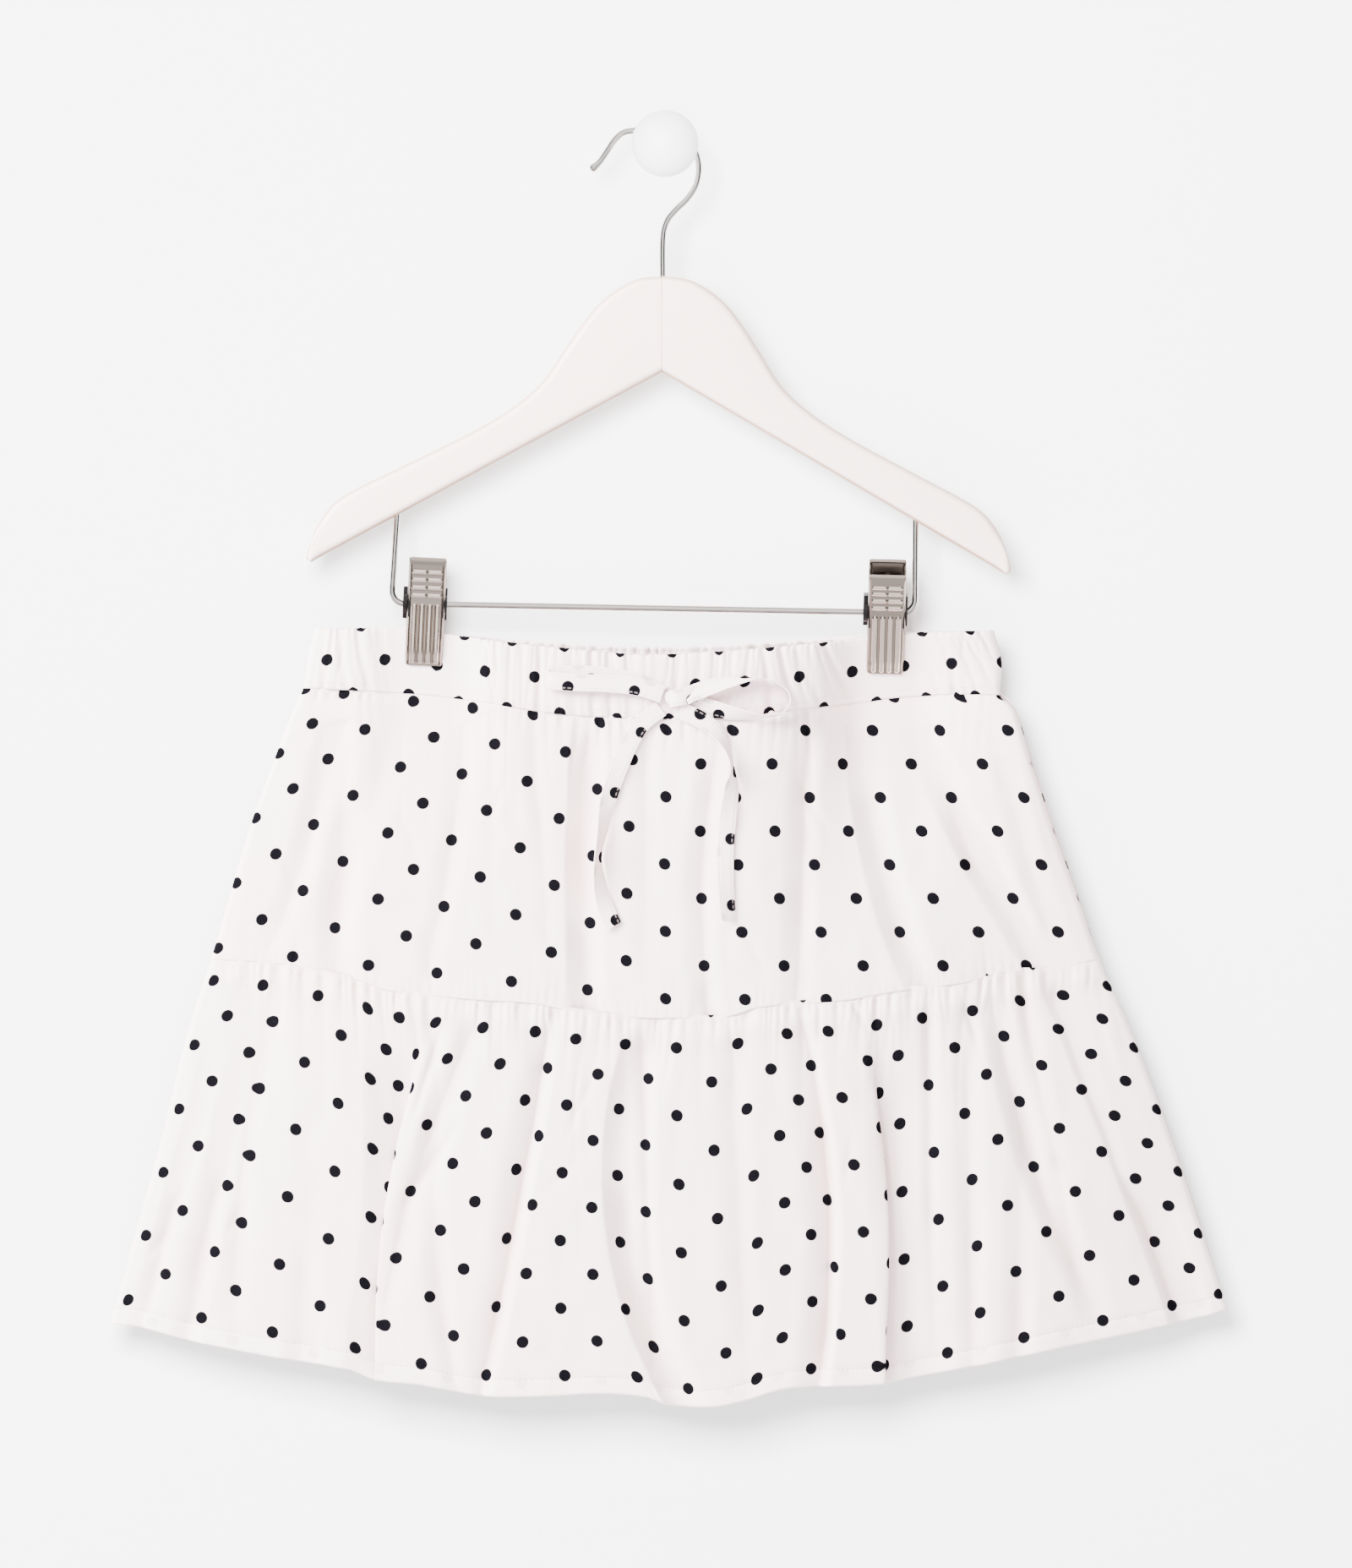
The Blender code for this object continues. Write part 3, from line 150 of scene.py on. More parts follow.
LinePoint = namedtuple("LinePoint", "x y")
EDGE_LINES = {
    BAND_TOP: table(
        LinePoint,
        (375, 743), (482, 743), (527, 749.5), (608, 760), (675, 767), (760, 774), (841, 771),
        (897, 767), (1000, 757), (1076, 749), (1172, 745.5),
    ),
    WAIST_SEAM: table(
        LinePoint,
        (361, 814), (487, 820.5), (527, 824.5), (597, 835), (653, 844), (742, 850), (801, 851),
        (869, 848), (953, 838), (1017, 831), (1063, 825), (1130, 821.5), (1177, 822),
    ),
    TIER_SEAM: table(
        LinePoint,
        (252, 1135), (320, 1139), (370, 1148), (427, 1160), (459, 1171), (548, 1181), (634, 1187),
        (673, 1195), (749, 1203), (800, 1204), (857, 1203), (900, 1191), (999, 1183), (1064, 1172),
        (1144, 1162), (1183, 1151), (1240, 1147), (1298, 1135),
    ),
    HEM: table(
        LinePoint,
        (133, 1566), (166, 1569), (227, 1585), (320, 1603), (416, 1619), (443, 1630), (497, 1636),
        (573, 1649), (650, 1649), (711, 1646), (764, 1650), (795, 1660), (840, 1662), (876, 1656),
        (926, 1641), (972, 1638), (1045, 1635), (1083, 1627), (1106, 1623), (1183, 1608),
        (1262, 1591), (1351, 1573), (1430, 1555), (1451, 1548),
    ),
}
LINE_LIMIT = 5.0

# ---- Where the columns of dots hang ----
# number counts half pitches of the print from the middle column, and the other columns
# give that column's pixel at its panel's top, middle and bottom edges.

Column = namedtuple("Column", "number top middle bottom")
BAND_COLUMNS = table(
    Column,
    (-12.8, 373, 369, 364), (-12, 395, 392, 389), (-10, 461, 459, 457), (-8, 522, 520, 519),
    (-6, 577, 576, 575), (-4, 635, 634, 634), (-2, 699, 699, 699), (0, 765, 765, 765),
    (2, 821, 821, 821), (4, 877, 878, 879), (6, 940, 942, 944), (8, 1001, 1004, 1007),
    (10, 1060, 1064, 1068), (12, 1115, 1120, 1124), (14, 1172, 1178, 1183),
)
TIER_COLUMNS = table(
    Column,
    (-12.1, 350, 301, 252), (-10, 403, 375, 347), (-9, 437, 415, 392), (-8, 488, 462, 435),
    (-7, 520, 498, 475), (-6, 561, 538, 516), (-5, 592, 576, 560), (-4, 635, 620, 605),
    (-3, 676, 663, 650), (-2, 717, 706, 695), (-1, 755, 748, 740), (0, 796, 792, 788),
    (1, 836, 835, 835), (2, 876, 879, 882), (3, 919, 925, 930), (4, 961, 969, 977),
    (5, 1002, 1013, 1024), (6, 1040, 1056, 1072), (7, 1080, 1099, 1118), (8, 1118, 1142, 1166),
    (9, 1160, 1187, 1214), (10, 1196, 1228, 1260), (10.9, 1212, 1254, 1299),
)
FRILL_COLUMNS = table(
    Column,
    (-20.4, 252, 192, 132), (-19, 290, 237, 180), (-18, 320, 278, 235), (-17, 346, 299, 278),
    (-16, 386, 348, 322), (-15, 412, 399, 371), (-14, 437, 443, 417), (-13, 459, 463, 446),
    (-12, 478, 474, 462), (-11.3, 502, 482, 477), (-10.6, 520, 472, 468), (-9.8, 538, 462, 450),
    (-9.4, 548, 472, 445), (-9, 560, 489, 449), (-8, 585, 531, 497), (-7, 614, 565, 530),
    (-6, 643, 608, 573), (-5, 666, 632, 618), (-4, 692, 666, 671), (-3, 722, 702, 714),
    (-2, 750, 733, 758), (-1, 779, 766, 781), (0, 806, 806, 816), (1, 846, 850, 864),
    (2, 873, 895, 894), (3, 904, 929, 920), (4, 930, 958, 958), (5, 955, 980, 998),
    (6, 978, 1016, 1038), (6.4, 990, 1034, 1046), (7, 1012, 1050, 1042), (8, 1042, 1043, 1046),
    (9, 1066, 1068, 1076), (10, 1094, 1108, 1121), (11, 1121, 1150, 1160), (12, 1149, 1186, 1212),
    (13, 1174, 1222, 1262), (14, 1202, 1262, 1307), (15, 1228, 1302, 1352), (16, 1250, 1330, 1390),
    (17, 1282, 1356, 1425), (18.15, 1308, 1385, 1451),
)

# ---- Folds ----
# One row for each trough, in pixels across the photograph: where it runs at the panel's
# top, middle and bottom. The depths and the reach to each side are in millimetres, and
# shape is above 0 where the bottom is sharp and below 0 where the left brink is.

Fold = namedtuple("Fold", "top middle bottom deep_top deep_middle deep_bottom left right shape")
TIER_FOLDS = table(
    Fold,
    (402, 368, 312, 2.4, 3.4, 0.5, 9, 9, 0.6),
    (487, 425, 380, 1.2, 1.8, 0.2, 12, 12, 0.2),
    (402, 406, 398, 0, 2.6, 2, 11, 11, 0.3),
    (553, 535, 500, 1.6, 2, 0.2, 8, 8, 0.5),
    (583, 583, 585, 1.5, 0.4, 0, 6, 6, 0.5),
    (630, 642, 650, 1.5, 0.8, 0, 7, 7, 0.5),
    (699, 690, 695, 1.8, 3.8, 2.8, 8, 10, -0.7),
    (763, 763, 765, 1.5, 1, 0.2, 8, 8, 0.5),
    (853, 833, 838, 1.2, 2.8, 2.6, 10, 8, 0.5),
    (960, 950, 943, 1.4, 2.8, 1.8, 10, 8, 0.5),
    (1022, 1036, 1092, 2.6, 4, 2.6, 8, 11, -0.6),
    (1068, 1145, 1236, 2, 4.4, 2.8, 9, 11, -0.6),
    (1180, 1206, 1262, 0.9, 1.8, 1.8, 8, 9, 0.3),
)
FRILL_FOLDS = table(
    Fold,
    (296, 224, 168, 1, 2.8, 1.4, 7, 6, 0.5),
    (306, 264, 222, 1.8, 3.6, 2.4, 9, 8, 0.4),
    (326, 290, 276, 1.6, 2, 0.4, 7, 8, 0.4),
    (372, 366, 356, 0.8, 0.6, 2, 9, 12, 0.2),
    (576, 490, 440, 1.2, 2.6, 0, 8, 12, 0.5),
    (522, 512, 540, 0.6, 1.2, 2.6, 8, 8, 0.4),
    (654, 615, 571, 2.2, 5.2, 3.4, 13, 6, 0.9),
    (772, 738, 808, 1.6, 4.8, 5.2, 9, 14, -0.9),
    (757, 767, 772, 1.8, 2.4, 0, 6, 6, 0.8),
    (868, 873, 882, 1.2, 1.6, 0.4, 9, 9, 0.4),
    (946, 980, 970, 2.2, 6, 5.6, 14, 5, 0.9),
    (1096, 1099, 1106, 2.6, 1.6, 0, 5, 6, 0.7),
    (1140, 1146, 1149, 0.5, 2.4, 2.2, 8, 9, 0.4),
    (1168, 1222, 1306, 1.8, 4.2, 0, 8, 11, 0.3),
    (1204, 1246, 1290, 1.6, 1.4, 0, 6, 7, 0.5),
    (1214, 1210, 1205, 0, 1.2, 2.4, 9, 9, 0.2),
    (1240, 1330, 1402, 2.4, 5.6, 5, 8, 13, -0.4),
)
# Short slanting creases: the pixels of both ends, and depth and width in millimetres.
Crease = namedtuple("Crease", "x y to_x to_y deep wide")
CREASES = table(
    Crease,
    (527, 1205, 487, 1330, 1.3, 2.6), (550, 1310, 470, 1430, 1.7, 4),
    (640, 1395, 688, 1342, 0.7, 2.2), (205, 1495, 172, 1538, 1, 4), (300, 1440, 262, 1500, 0.8, 4),
    (700, 1260, 668, 1330, 0.8, 3), (1002, 1180, 1030, 1226, 1.2, 2.6),
    (1240, 1400, 1282, 1428, 1.4, 5), (1140, 1204, 1158, 1262, 1.2, 2.8),
    (1010, 1330, 996, 1400, 0.7, 3), (460, 930, 500, 1010, 0.6, 3.4), (602, 900, 574, 960, 0.6, 3),
    (940, 900, 985, 968, 0.7, 3.4), (1100, 880, 1148, 930, 0.8, 3.4),
    (880, 1060, 905, 1110, 0.6, 3), (330, 1010, 352, 1070, 0.6, 3),
)
# The two places where the frill laps over itself, by the number of the dot column.
Lap = namedtuple("Lap", "number deep")
LAPS = (
    table(
        Lap,
        (-14.3, 0), (-13.7, 2.4), (-12.9, 4.6), (-12.2, 6.2), (-11.3, 8), (-10.5, 5.2),
        (-9.8, 1.6), (-9.2, 0),
    ),
    table(
        Lap,
        (6.2, 0), (6.8, 1.6), (7.3, 4.6), (8, 7.4), (8.8, 8.4), (9.6, 6.6), (10.6, 2.8),
        (11.6, 0.5), (12.2, 0),
    ),
)
LAP_BEGINS = 0.04
LAP_FULL = 0.34

# ---- The print and the cloth ----

DOT_PITCH_ACROSS = 33.5
DOT_PITCH_DOWN = 28.6
TIER_DOT_PX = LinePoint(796.0, 864.0)
TIER_PRINT_TILT = 0.112
BAND_DOT_DROP = {"front": 13.5, "back": 8.0}
FRILL_DOT_DROP = (9.0, 12.2)


# ---- Small helpers ----

def smoothstep(low, high, value):
    """Rise smoothly from 0 at low to 1 at high."""
    share = np.clip((np.asarray(value, float) - low) / (high - low), 0.0, 1.0)
    return share * share * (3.0 - 2.0 * share)


def hermite(keys, values, at):
    """Smooth curve through values at uneven keys."""
    keys = np.asarray(keys, float)
    values = np.asarray(values, float)
    slopes = np.empty_like(values)
    slopes[1:-1] = (values[2:] - values[:-2]) / (keys[2:] - keys[:-2])
    slopes[0] = (values[1] - values[0]) / (keys[1] - keys[0])
    slopes[-1] = (values[-1] - values[-2]) / (keys[-1] - keys[-2])
    at = np.asarray(at, float)
    index = np.clip(np.searchsorted(keys, at, side="right") - 1, 0, len(keys) - 2)
    gap = keys[index + 1] - keys[index]
    share = np.clip((at - keys[index]) / gap, 0.0, 1.0)
    square = share * share
    cube = square * share
    return (
        (2.0 * cube - 3.0 * square + 1.0) * values[index]
        + (cube - 2.0 * square + share) * gap * slopes[index]
        + (3.0 * square - 2.0 * cube) * values[index + 1]
        + (cube - square) * gap * slopes[index + 1]
    )


def through_three(top, middle, bottom, share):
    """Curve through three values at the shares 0, a half and 1."""
    return (
        top * (1.0 - share) * (1.0 - 2.0 * share)
        + middle * 4.0 * share * (1.0 - share)
        + bottom * share * (2.0 * share - 1.0)
    )


def by_height(rows, z):
    """Read a table of heights, highest first, at heights z."""
    heights = [row.z for row in reversed(rows)]
    values = [row.value for row in reversed(rows)]
    return np.interp(z, heights, values)


LATTICE = 96


def cloth_noise(seed, across, down):
    """Smooth random heights from -1 to 1, one for each unit square."""
    lattice = np.random.RandomState(seed).uniform(-1.0, 1.0, (LATTICE, LATTICE))
    across, down = np.broadcast_arrays(np.asarray(across, float), np.asarray(down, float))
    column = np.floor(across).astype(int)
    row = np.floor(down).astype(int)
    u = smoothstep(0.0, 1.0, across - column)
    v = smoothstep(0.0, 1.0, down - row)
    column, row = column % LATTICE, row % LATTICE
    column_next, row_next = (column + 1) % LATTICE, (row + 1) % LATTICE
    upper = lattice[row, column] * (1.0 - u) + lattice[row, column_next] * u
    lower = lattice[row_next, column] * (1.0 - u) + lattice[row_next, column_next] * u
    return upper * (1.0 - v) + lower * v


# ---- The skirt's form ----

# Depths of a narrow and a wide crease, in millimetres, at which its shade is full.
CREASE_NARROW = 0.7
CREASE_WIDE = 2.2
# How far a fold wanders from its line, and how unevenly deep it is.
FOLD_WANDER = 1.3
FOLD_UNEVEN = 0.32
# Steps between the close columns at a side seam, in millimetres.
SEAM_STEPS = (0.0, 0.06, 0.25, 0.6, 1.05, 1.6)


def rings_at(places):
    """Smoothly read the ring table at places such as 2.5, as columns of numbers."""
    places = np.asarray(places, float)
    keys = np.arange(len(RINGS))
    return Ring(*[hermite(keys, column, places)[:, None] for column in zip(*RINGS)])


def span(ring):
    """Middle and half width of the rings."""
    return (ring.left_x + ring.right_x) / 2, (ring.right_x - ring.left_x) / 2


def grip_at(x, z):
    """How far the clips close the cloth, from 0 to 1."""
    nearest = np.minimum(abs(x - CLIPS[0].x), abs(x - CLIPS[1].x))
    return (1.0 - smoothstep(GRIP_FLAT, GRIP_REACH, nearest)) * by_height(GRIP, z)


def set_back_at(x, z):
    """How far the pitched right clip pushes the cloth towards the wall."""
    away = abs(x - CLIPS[1].x)
    return (1.0 - smoothstep(GRIP_FLAT, SET_BACK_REACH, away)) * by_height(SET_BACK, z)


def side_round(distance, radius):
    """Depth of the round fold at a side seam, at a distance from it."""
    inner = np.clip(radius - distance, 0.0, radius)
    return np.sqrt(np.maximum(radius * radius - inner * inner, 0.0))


def ring_height(ring, across, front):
    """Height of the rings at shares across them."""
    slant = ring.left_z + (ring.right_z - ring.left_z) * (across + 1.0) / 2
    sag = ring.sag if front else ring.back_sag
    return slant - sag * np.maximum(1.0 - across * across, 0.0) ** ring.power


def line_shift(x, places):
    """How far the front's edge lines in the photograph stand above the rings."""
    line_places = sorted(EDGE_LINES)
    shifts = []
    for place in line_places:
        ring = rings_at([place])
        middle, half = span(ring)
        line = EDGE_LINES[place]
        keys = px_x([point.x for point in line])
        heights = px_z([point.y for point in line])
        across = np.clip((x - middle) / half, -1.0, 1.0)
        at = middle + half * across
        shift = hermite(keys, heights, at) - ring_height(ring, across, True)
        shifts.append(np.clip(shift, -LINE_LIMIT, LINE_LIMIT))
    places = np.asarray(places, float)
    index = np.clip(np.searchsorted(line_places, places, side="right") - 1, 0, len(shifts) - 2)
    result = np.zeros_like(x)
    for row, (step, place) in enumerate(zip(index, places)):
        start, end = line_places[step], line_places[step + 1]
        share = float(np.clip((place - start) / (end - start), 0.0, 1.0))
        result[row] = shifts[step][row] * (1.0 - share) + shifts[step + 1][row] * share
    return result


def stand_off(side, x, depth, z):
    """Points of the cloth at a depth from the hanging plane, pushed back by the clip."""
    depth = depth + RIM_GAP
    y = -HANG_DEPTH + (-depth if side == "front" else depth) + set_back_at(x, z)
    return np.stack([x, y, z], axis=-1)


def hang(side, x, places, sink, step_out, puff=0.0):
    """Points of a panel in millimetres.

    x holds one row of columns for each place in the ring table, sink is how far the
    folds take the cloth inwards and puff how far it swells out.
    """
    front = side == "front"
    ring = rings_at(places)
    middle, half = span(ring)
    half = half + step_out
    across = np.clip((x - middle) / half, -1.0, 1.0)
    z = ring_height(ring, across, front)
    if front:
        z = z + line_shift(x, places)
    edge = half * (1.0 - abs(across))
    end_round = side_round(edge, SIDE_ROUND + step_out)
    full = (ring.front_depth if front else ring.back_depth) - SIDE_ROUND
    depth = end_round + full * (1.0 - abs(across) ** SIDE_DOME)
    hold = grip_at(x, z)
    depth = depth + (np.minimum(PINCH_DEPTH + step_out, end_round) - depth) * hold
    room = np.minimum(depth, by_height(SHORTS_ROOM, z))
    fade = smoothstep(0.0, EDGE_FADE, edge)
    spare = depth - (sink - puff) * (1.0 - hold) * fade - room
    depth = room + (spare + np.sqrt(spare * spare + ROOM_ROUND * ROOM_ROUND * fade)) / 2
    return stand_off(side, x, depth, z)


def fold_sink(folds, x, share):
    """How far a table of troughs takes the cloth inwards."""
    total = np.zeros_like(x)
    for row, fold in enumerate(folds):
        along = share[:, :1] * 6.0 + 1.7 * row
        centre = through_three(*px_x(fold[:3]), share)
        centre = centre + FOLD_WANDER * cloth_noise(5, along, 0.5)
        deep = np.maximum(through_three(*fold[3:6], share), 0.0)
        deep = deep * (1.0 + FOLD_UNEVEN * cloth_noise(6, along * 1.4, 0.5))
        away = x - centre
        reach = np.where(away < 0.0, fold.left, fold.right)
        rest = np.clip(1.0 - abs(away) / reach, 0.0, 1.0)
        soft = rest * rest * (3.0 - 2.0 * rest)
        brink = np.where(away < 0.0, rest * (2.0 - rest), soft)
        sharp = rest * rest if fold.shape > 0.0 else brink
        total += deep * (soft + (sharp - soft) * abs(fold.shape))
    return total


def crease_sink(x, z):
    """How far the short slanting creases take the cloth inwards."""
    total = np.zeros_like(x)
    for crease in CREASES:
        start_x, start_z = px_x(crease.x), px_z(crease.y)
        run_x, run_z = px_x(crease.to_x) - start_x, px_z(crease.to_y) - start_z
        share = ((x - start_x) * run_x + (z - start_z) * run_z) / (run_x ** 2 + run_z ** 2)
        away = np.hypot(x - start_x - share * run_x, z - start_z - share * run_z)
        length = np.clip(4.0 * share * (1.0 - share), 0.0, 1.0)
        total += crease.deep * length * np.clip(1.0 - away / crease.wide, 0.0, 1.0) ** 1.5
    return total


def column_x(table, numbers, share):
    """Millimetres across of the print's columns, down a panel."""
    keys = [row.number for row in table]
    sides = [hermite(keys, px_x([row[pick] for row in table]), numbers) for pick in (1, 2, 3)]
    return through_three(*[line[None, :] for line in sides], share)


def panel_x(side, table, numbers, places, share, step_out):
    """Columns across a panel, fitted between its side seams; the back is turned over."""
    x = column_x(table, numbers, share)
    ring = rings_at(places)
    left = ring.left_x - step_out
    right = ring.right_x + step_out
    along = ((numbers - numbers[0]) / (numbers[-1] - numbers[0]))[None, :]
    start, end = x[:, :1], x[:, -1:]
    x = x + (left - start) * (1.0 - along) + (right - end) * along
    if side == "back":
        x = left + right - x
    return x


def panel_numbers(table, count, per_number):
    """Even columns across a panel, with close ones round the side seams."""
    start, end = table[0].number, table[-1].number
    close = np.array(SEAM_STEPS) / per_number
    inner = np.linspace(start + close[-1] * 1.5, end - close[-1] * 1.5, count)
    return np.concatenate([start + close, inner, (end - close)[::-1]])


def near_mean(values, reach):
    """Mean of each value and its neighbours along the rows."""
    padded = np.pad(values, ((0, 0), (reach + 1, reach)), mode="edge")
    total = np.cumsum(padded, axis=1)
    return (total[:, 2 * reach + 1:] - total[:, :-2 * reach - 1]) / (2 * reach + 1)


def gather_map(points, numbers, side):
    """How far the cloth is drawn together across, and how much painted shade darkens it where it
    lies deep in a crease.
    """
    steps = np.hypot(np.diff(points[..., 0], axis=1), np.diff(points[..., 1], axis=1))
    steps = steps / (np.diff(numbers)[None, :] * DOT_PITCH_ACROSS / 2)
    stretch = near_mean(np.concatenate([steps[:, :1], steps], axis=1), 3)
    out = points[..., 1] * (-1.0 if side == "front" else 1.0)
    narrow = (near_mean(out, 4) - out) / CREASE_NARROW
    wide = (near_mean(out, 13) - out) / CREASE_WIDE
    # How much painted shade a crease gets, from how far the cloth lies below its neighbours.
    crease = np.clip(np.maximum(narrow, 0.0) * 0.5 + np.maximum(wide, 0.0) * 0.7, 0.0, 1.0)
    return np.stack([np.clip(stretch, 0.3, 1.1), crease], axis=-1) / MM


# ---- Meshes and objects ----

def add_object(name, data):
    """New object in the scene."""
    made = bpy.data.objects.new(name, data)
    bpy.context.scene.collection.objects.link(made)
    return made


def add_maps(mesh, maps):
    """Write maps in millimetres, one pair for each point."""
    corners = np.empty(len(mesh.loops), dtype=np.int32)
    mesh.loops.foreach_get("vertex_index", corners)
    for name, pairs in maps.items():
        layer = mesh.uv_layers.new(name=name)
        layer.data.foreach_set("uv", (np.reshape(pairs, (-1, 2))[corners] * MM).ravel())


def grid_faces(rows, columns):
    """Faces between points that stand in rows and columns."""
    index = np.arange(rows * columns).reshape(rows, columns)
    corners = (index[1:, :-1], index[1:, 1:], index[:-1, 1:], index[:-1, :-1])
    return np.stack(corners, axis=-1).reshape(-1, 4).tolist()


def ring_faces(rings, count, first=0):
    """Faces between closed rings of points, from the point with the number first."""
    faces = []
    for start in range(first, first + (rings - 1) * count, count):
        following = start + count
        for step in range(count):
            after = (step + 1) % count
            faces.append((start + step, start + after, following + after, following + step))
    return faces


def tube_faces(rings, count):
    """Faces between closed rings of points, with both ends closed."""
    last = (rings - 1) * count
    ends = [tuple(reversed(range(count))), tuple(range(last, last + count))]
    return ring_faces(rings, count) + ends


def circle(count):
    """Even directions round a circle, as cosines and sines."""
    turns = [2.0 * math.pi * step / count for step in range(count)]
    return [(math.cos(turn), math.sin(turn)) for turn in turns]


def add_wall(piece, name, thickness, offset):
    """Give a sheet its thickness in millimetres."""
    wall = piece.modifiers.new(name, "SOLIDIFY")
    wall.thickness = thickness * MM
    wall.offset = offset
    return wall


def reshape(mesh, *steps):
    """Take a mesh through steps on its editable form, then turn its faces outwards."""
    form = bmesh.new()
    form.from_mesh(mesh)
    for step in steps:
        step(form)
    bmesh.ops.recalc_face_normals(form, faces=form.faces)
    form.to_mesh(mesh)
    form.free()


def smooth_over(mesh, angle):
    """Shade a mesh smooth over edges blunter than an angle in degrees."""
    mesh.shade_smooth()
    mesh.set_sharp_from_angle(angle=math.radians(angle))


def cloth_object(name, points, thickness, material, **maps):
    """Cloth piece through a grid of points, with its maps and a real thickness."""
    mesh = bpy.data.meshes.new(name)
    faces = grid_faces(*points.shape[:2])
    mesh.from_pydata((points.reshape(-1, 3) * MM).tolist(), [], faces)
    add_maps(mesh, maps)
    mesh.shade_smooth()
    mesh.materials.append(material)
    piece = add_object(name, mesh)
    add_wall(piece, "Wall", thickness, -1.0)
    return piece


def mesh_object(name, verts, faces, material, smooth_angle, maps=None):
    """Mesh piece from points in metres, smooth where its faces turn less than an angle."""
    mesh = bpy.data.meshes.new(name)
    mesh.from_pydata([tuple(vert) for vert in verts], [], faces)
    reshape(mesh)
    add_maps(mesh, maps or {})
    smooth_over(mesh, smooth_angle)
    mesh.materials.append(material)
    return add_object(name, mesh)


def settle(piece, material_slot, *nodes):
    """Fix a piece to the body and hide what it stands for; the name of its finish is not used."""
    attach(piece, BODY)
    if nodes:
        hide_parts(*nodes)
    return piece


# ---- Gathers ----

SEAM_FLAT = 2.0
# Puckers that leave a seam: how deep they are, the step of their random seed, their pitch,
# how far they reach, how much they wander and how crisp their valleys are.
Pucker = namedtuple("Pucker", "deep seed pitch reach wander crisp", defaults=(0.6, 2.2))
BAND_RUCHES = table(Pucker, (1.0, 0, 8.4, 400.0, 0.8, 3.0), (0.6, 5, 5.3, 60.0, 0.8, 3.0))
BAND_TOP_PUCKERS = table(Pucker, (1.0, 10, 3.1, 6.0))
BAND_FOOT_PUCKERS = table(Pucker, (1.0, 20, 4.2, 7.0))
TIER_TOP_PUCKERS = table(Pucker, (1.1, 0, 5.6, 17.0), (0.7, 1, 3.0, 6.0))
TIER_FOOT_PUCKERS = table(Pucker, (0.8, 2, 4.0, 6.0))
FRILL_TOP_PUCKERS = table(
    Pucker,
    (1.3, 0, 3.6, 9.0), (1.9, 1, 7.4, 20.0), (1.5, 2, 15.0, 40.0, 1.1),
)
HEM_PUCKERS = table(Pucker, (0.55, 4, 3.6, 5.0))
# Slow swells: how deep they are, the step of their seed, their size, how long they are for
# it, and the share down the panel at which they are full.
Swell = namedtuple("Swell", "deep seed size stretch full")
BAND_SWELL = Swell(0.5, 30, 19.0, 2.0, 0.0)
TIER_SWELLS = table(Swell, (0.9, 3, 24.0, 3.5, 0.2), (0.3, 4, 7.0, 1.6, 0.1))
FRILL_SWELLS = table(Swell, (1.1, 3, 28.0, 4.0, 0.3), (0.35, 5, 8.0, 1.8, 0.1))


def pucker(row, seed, along, down):
    """Small ridges and crisp valleys that leave a seam, from -1 to 0, unevenly long."""
    seed = seed + row.seed
    drift = row.wander * cloth_noise(seed, along / (2.2 * row.pitch), down / (6.0 * row.pitch))
    wave = (0.5 + 0.5 * np.cos(2.0 * math.pi * (along / row.pitch + drift))) ** row.crisp
    height = 0.62 + 0.5 * cloth_noise(seed + 1, along / row.pitch, down / row.reach)
    uneven = 0.3 + 1.5 * (0.5 + 0.5 * cloth_noise(seed + 2, along / row.pitch, 0.5)) ** 2
    return -wave * height * np.exp(-np.maximum(down, 0.0) / (row.reach * uneven))


def puckers(rows, seed, along, down):
    """All the puckers of a table, in millimetres."""
    return sum(row.deep * pucker(row, seed, along, down) for row in rows)


def from_seam(down):
    """Rise from 0 at a seam, where the stitches hold the cloth flat."""
    return smoothstep(0.0, SEAM_FLAT, down)


def groove(distance, width):
    """A soft groove or ridge along a seam, from 0 to 1."""
    return np.exp(-(distance / width) ** 2)


def swelling(row, seed, x, down):
    """Slow uneven swell of hanging cloth, in millimetres."""
    tall = row.size * row.stretch
    return row.deep * cloth_noise(seed + row.seed, x / row.size + 7.3, down / tall + 3.1)


# ---- Materials ----

class Term:
    """A node socket that Python's arithmetic works on by adding Math nodes."""

    def __init__(self, paint, socket):
        self.paint = paint
        self.socket = socket

    def maths(self, operation, *values):
        """Add one Math node."""
        sockets = dict(enumerate(values))
        return self.paint.node("ShaderNodeMath", {"operation": operation}, sockets)

    def __add__(self, other):
        return self.maths("ADD", self, other)

    def __sub__(self, other):
        return self.maths("SUBTRACT", self, other)

    def __rsub__(self, other):
        return self.maths("SUBTRACT", other, self)

    def __mul__(self, other):
        return self.maths("MULTIPLY", self, other)

    def __truediv__(self, other):
        return self.maths("DIVIDE", self, other)

    __radd__ = __add__
    __rmul__ = __mul__

    def sine(self):
        """Sine of the value."""
        return self.maths("SINE", self)

    def fraction(self):
        """Part of the value after the point."""
        return self.maths("FRACT", self)

    def size(self):
        """The value without its sign."""
        return self.maths("ABSOLUTE", self)

    def least(self, other):
        """Smaller of two values."""
        return self.maths("MINIMUM", self, other)

    def power(self, exponent):
        """The value raised to a power."""
        return self.maths("POWER", self, exponent)

    def rise(self, low, high):
        """Rise smoothly from 0 at low to 1 at high, or fall where high is less."""
        settings = {"interpolation_type": "SMOOTHSTEP"}
        backwards = high < low
        ends = {"From Min": min(low, high), "From Max": max(low, high)}
        ends["To Min"], ends["To Max"] = (1.0, 0.0) if backwards else (0.0, 1.0)
        return self.paint.node("ShaderNodeMapRange", settings, {"Value": self, **ends})


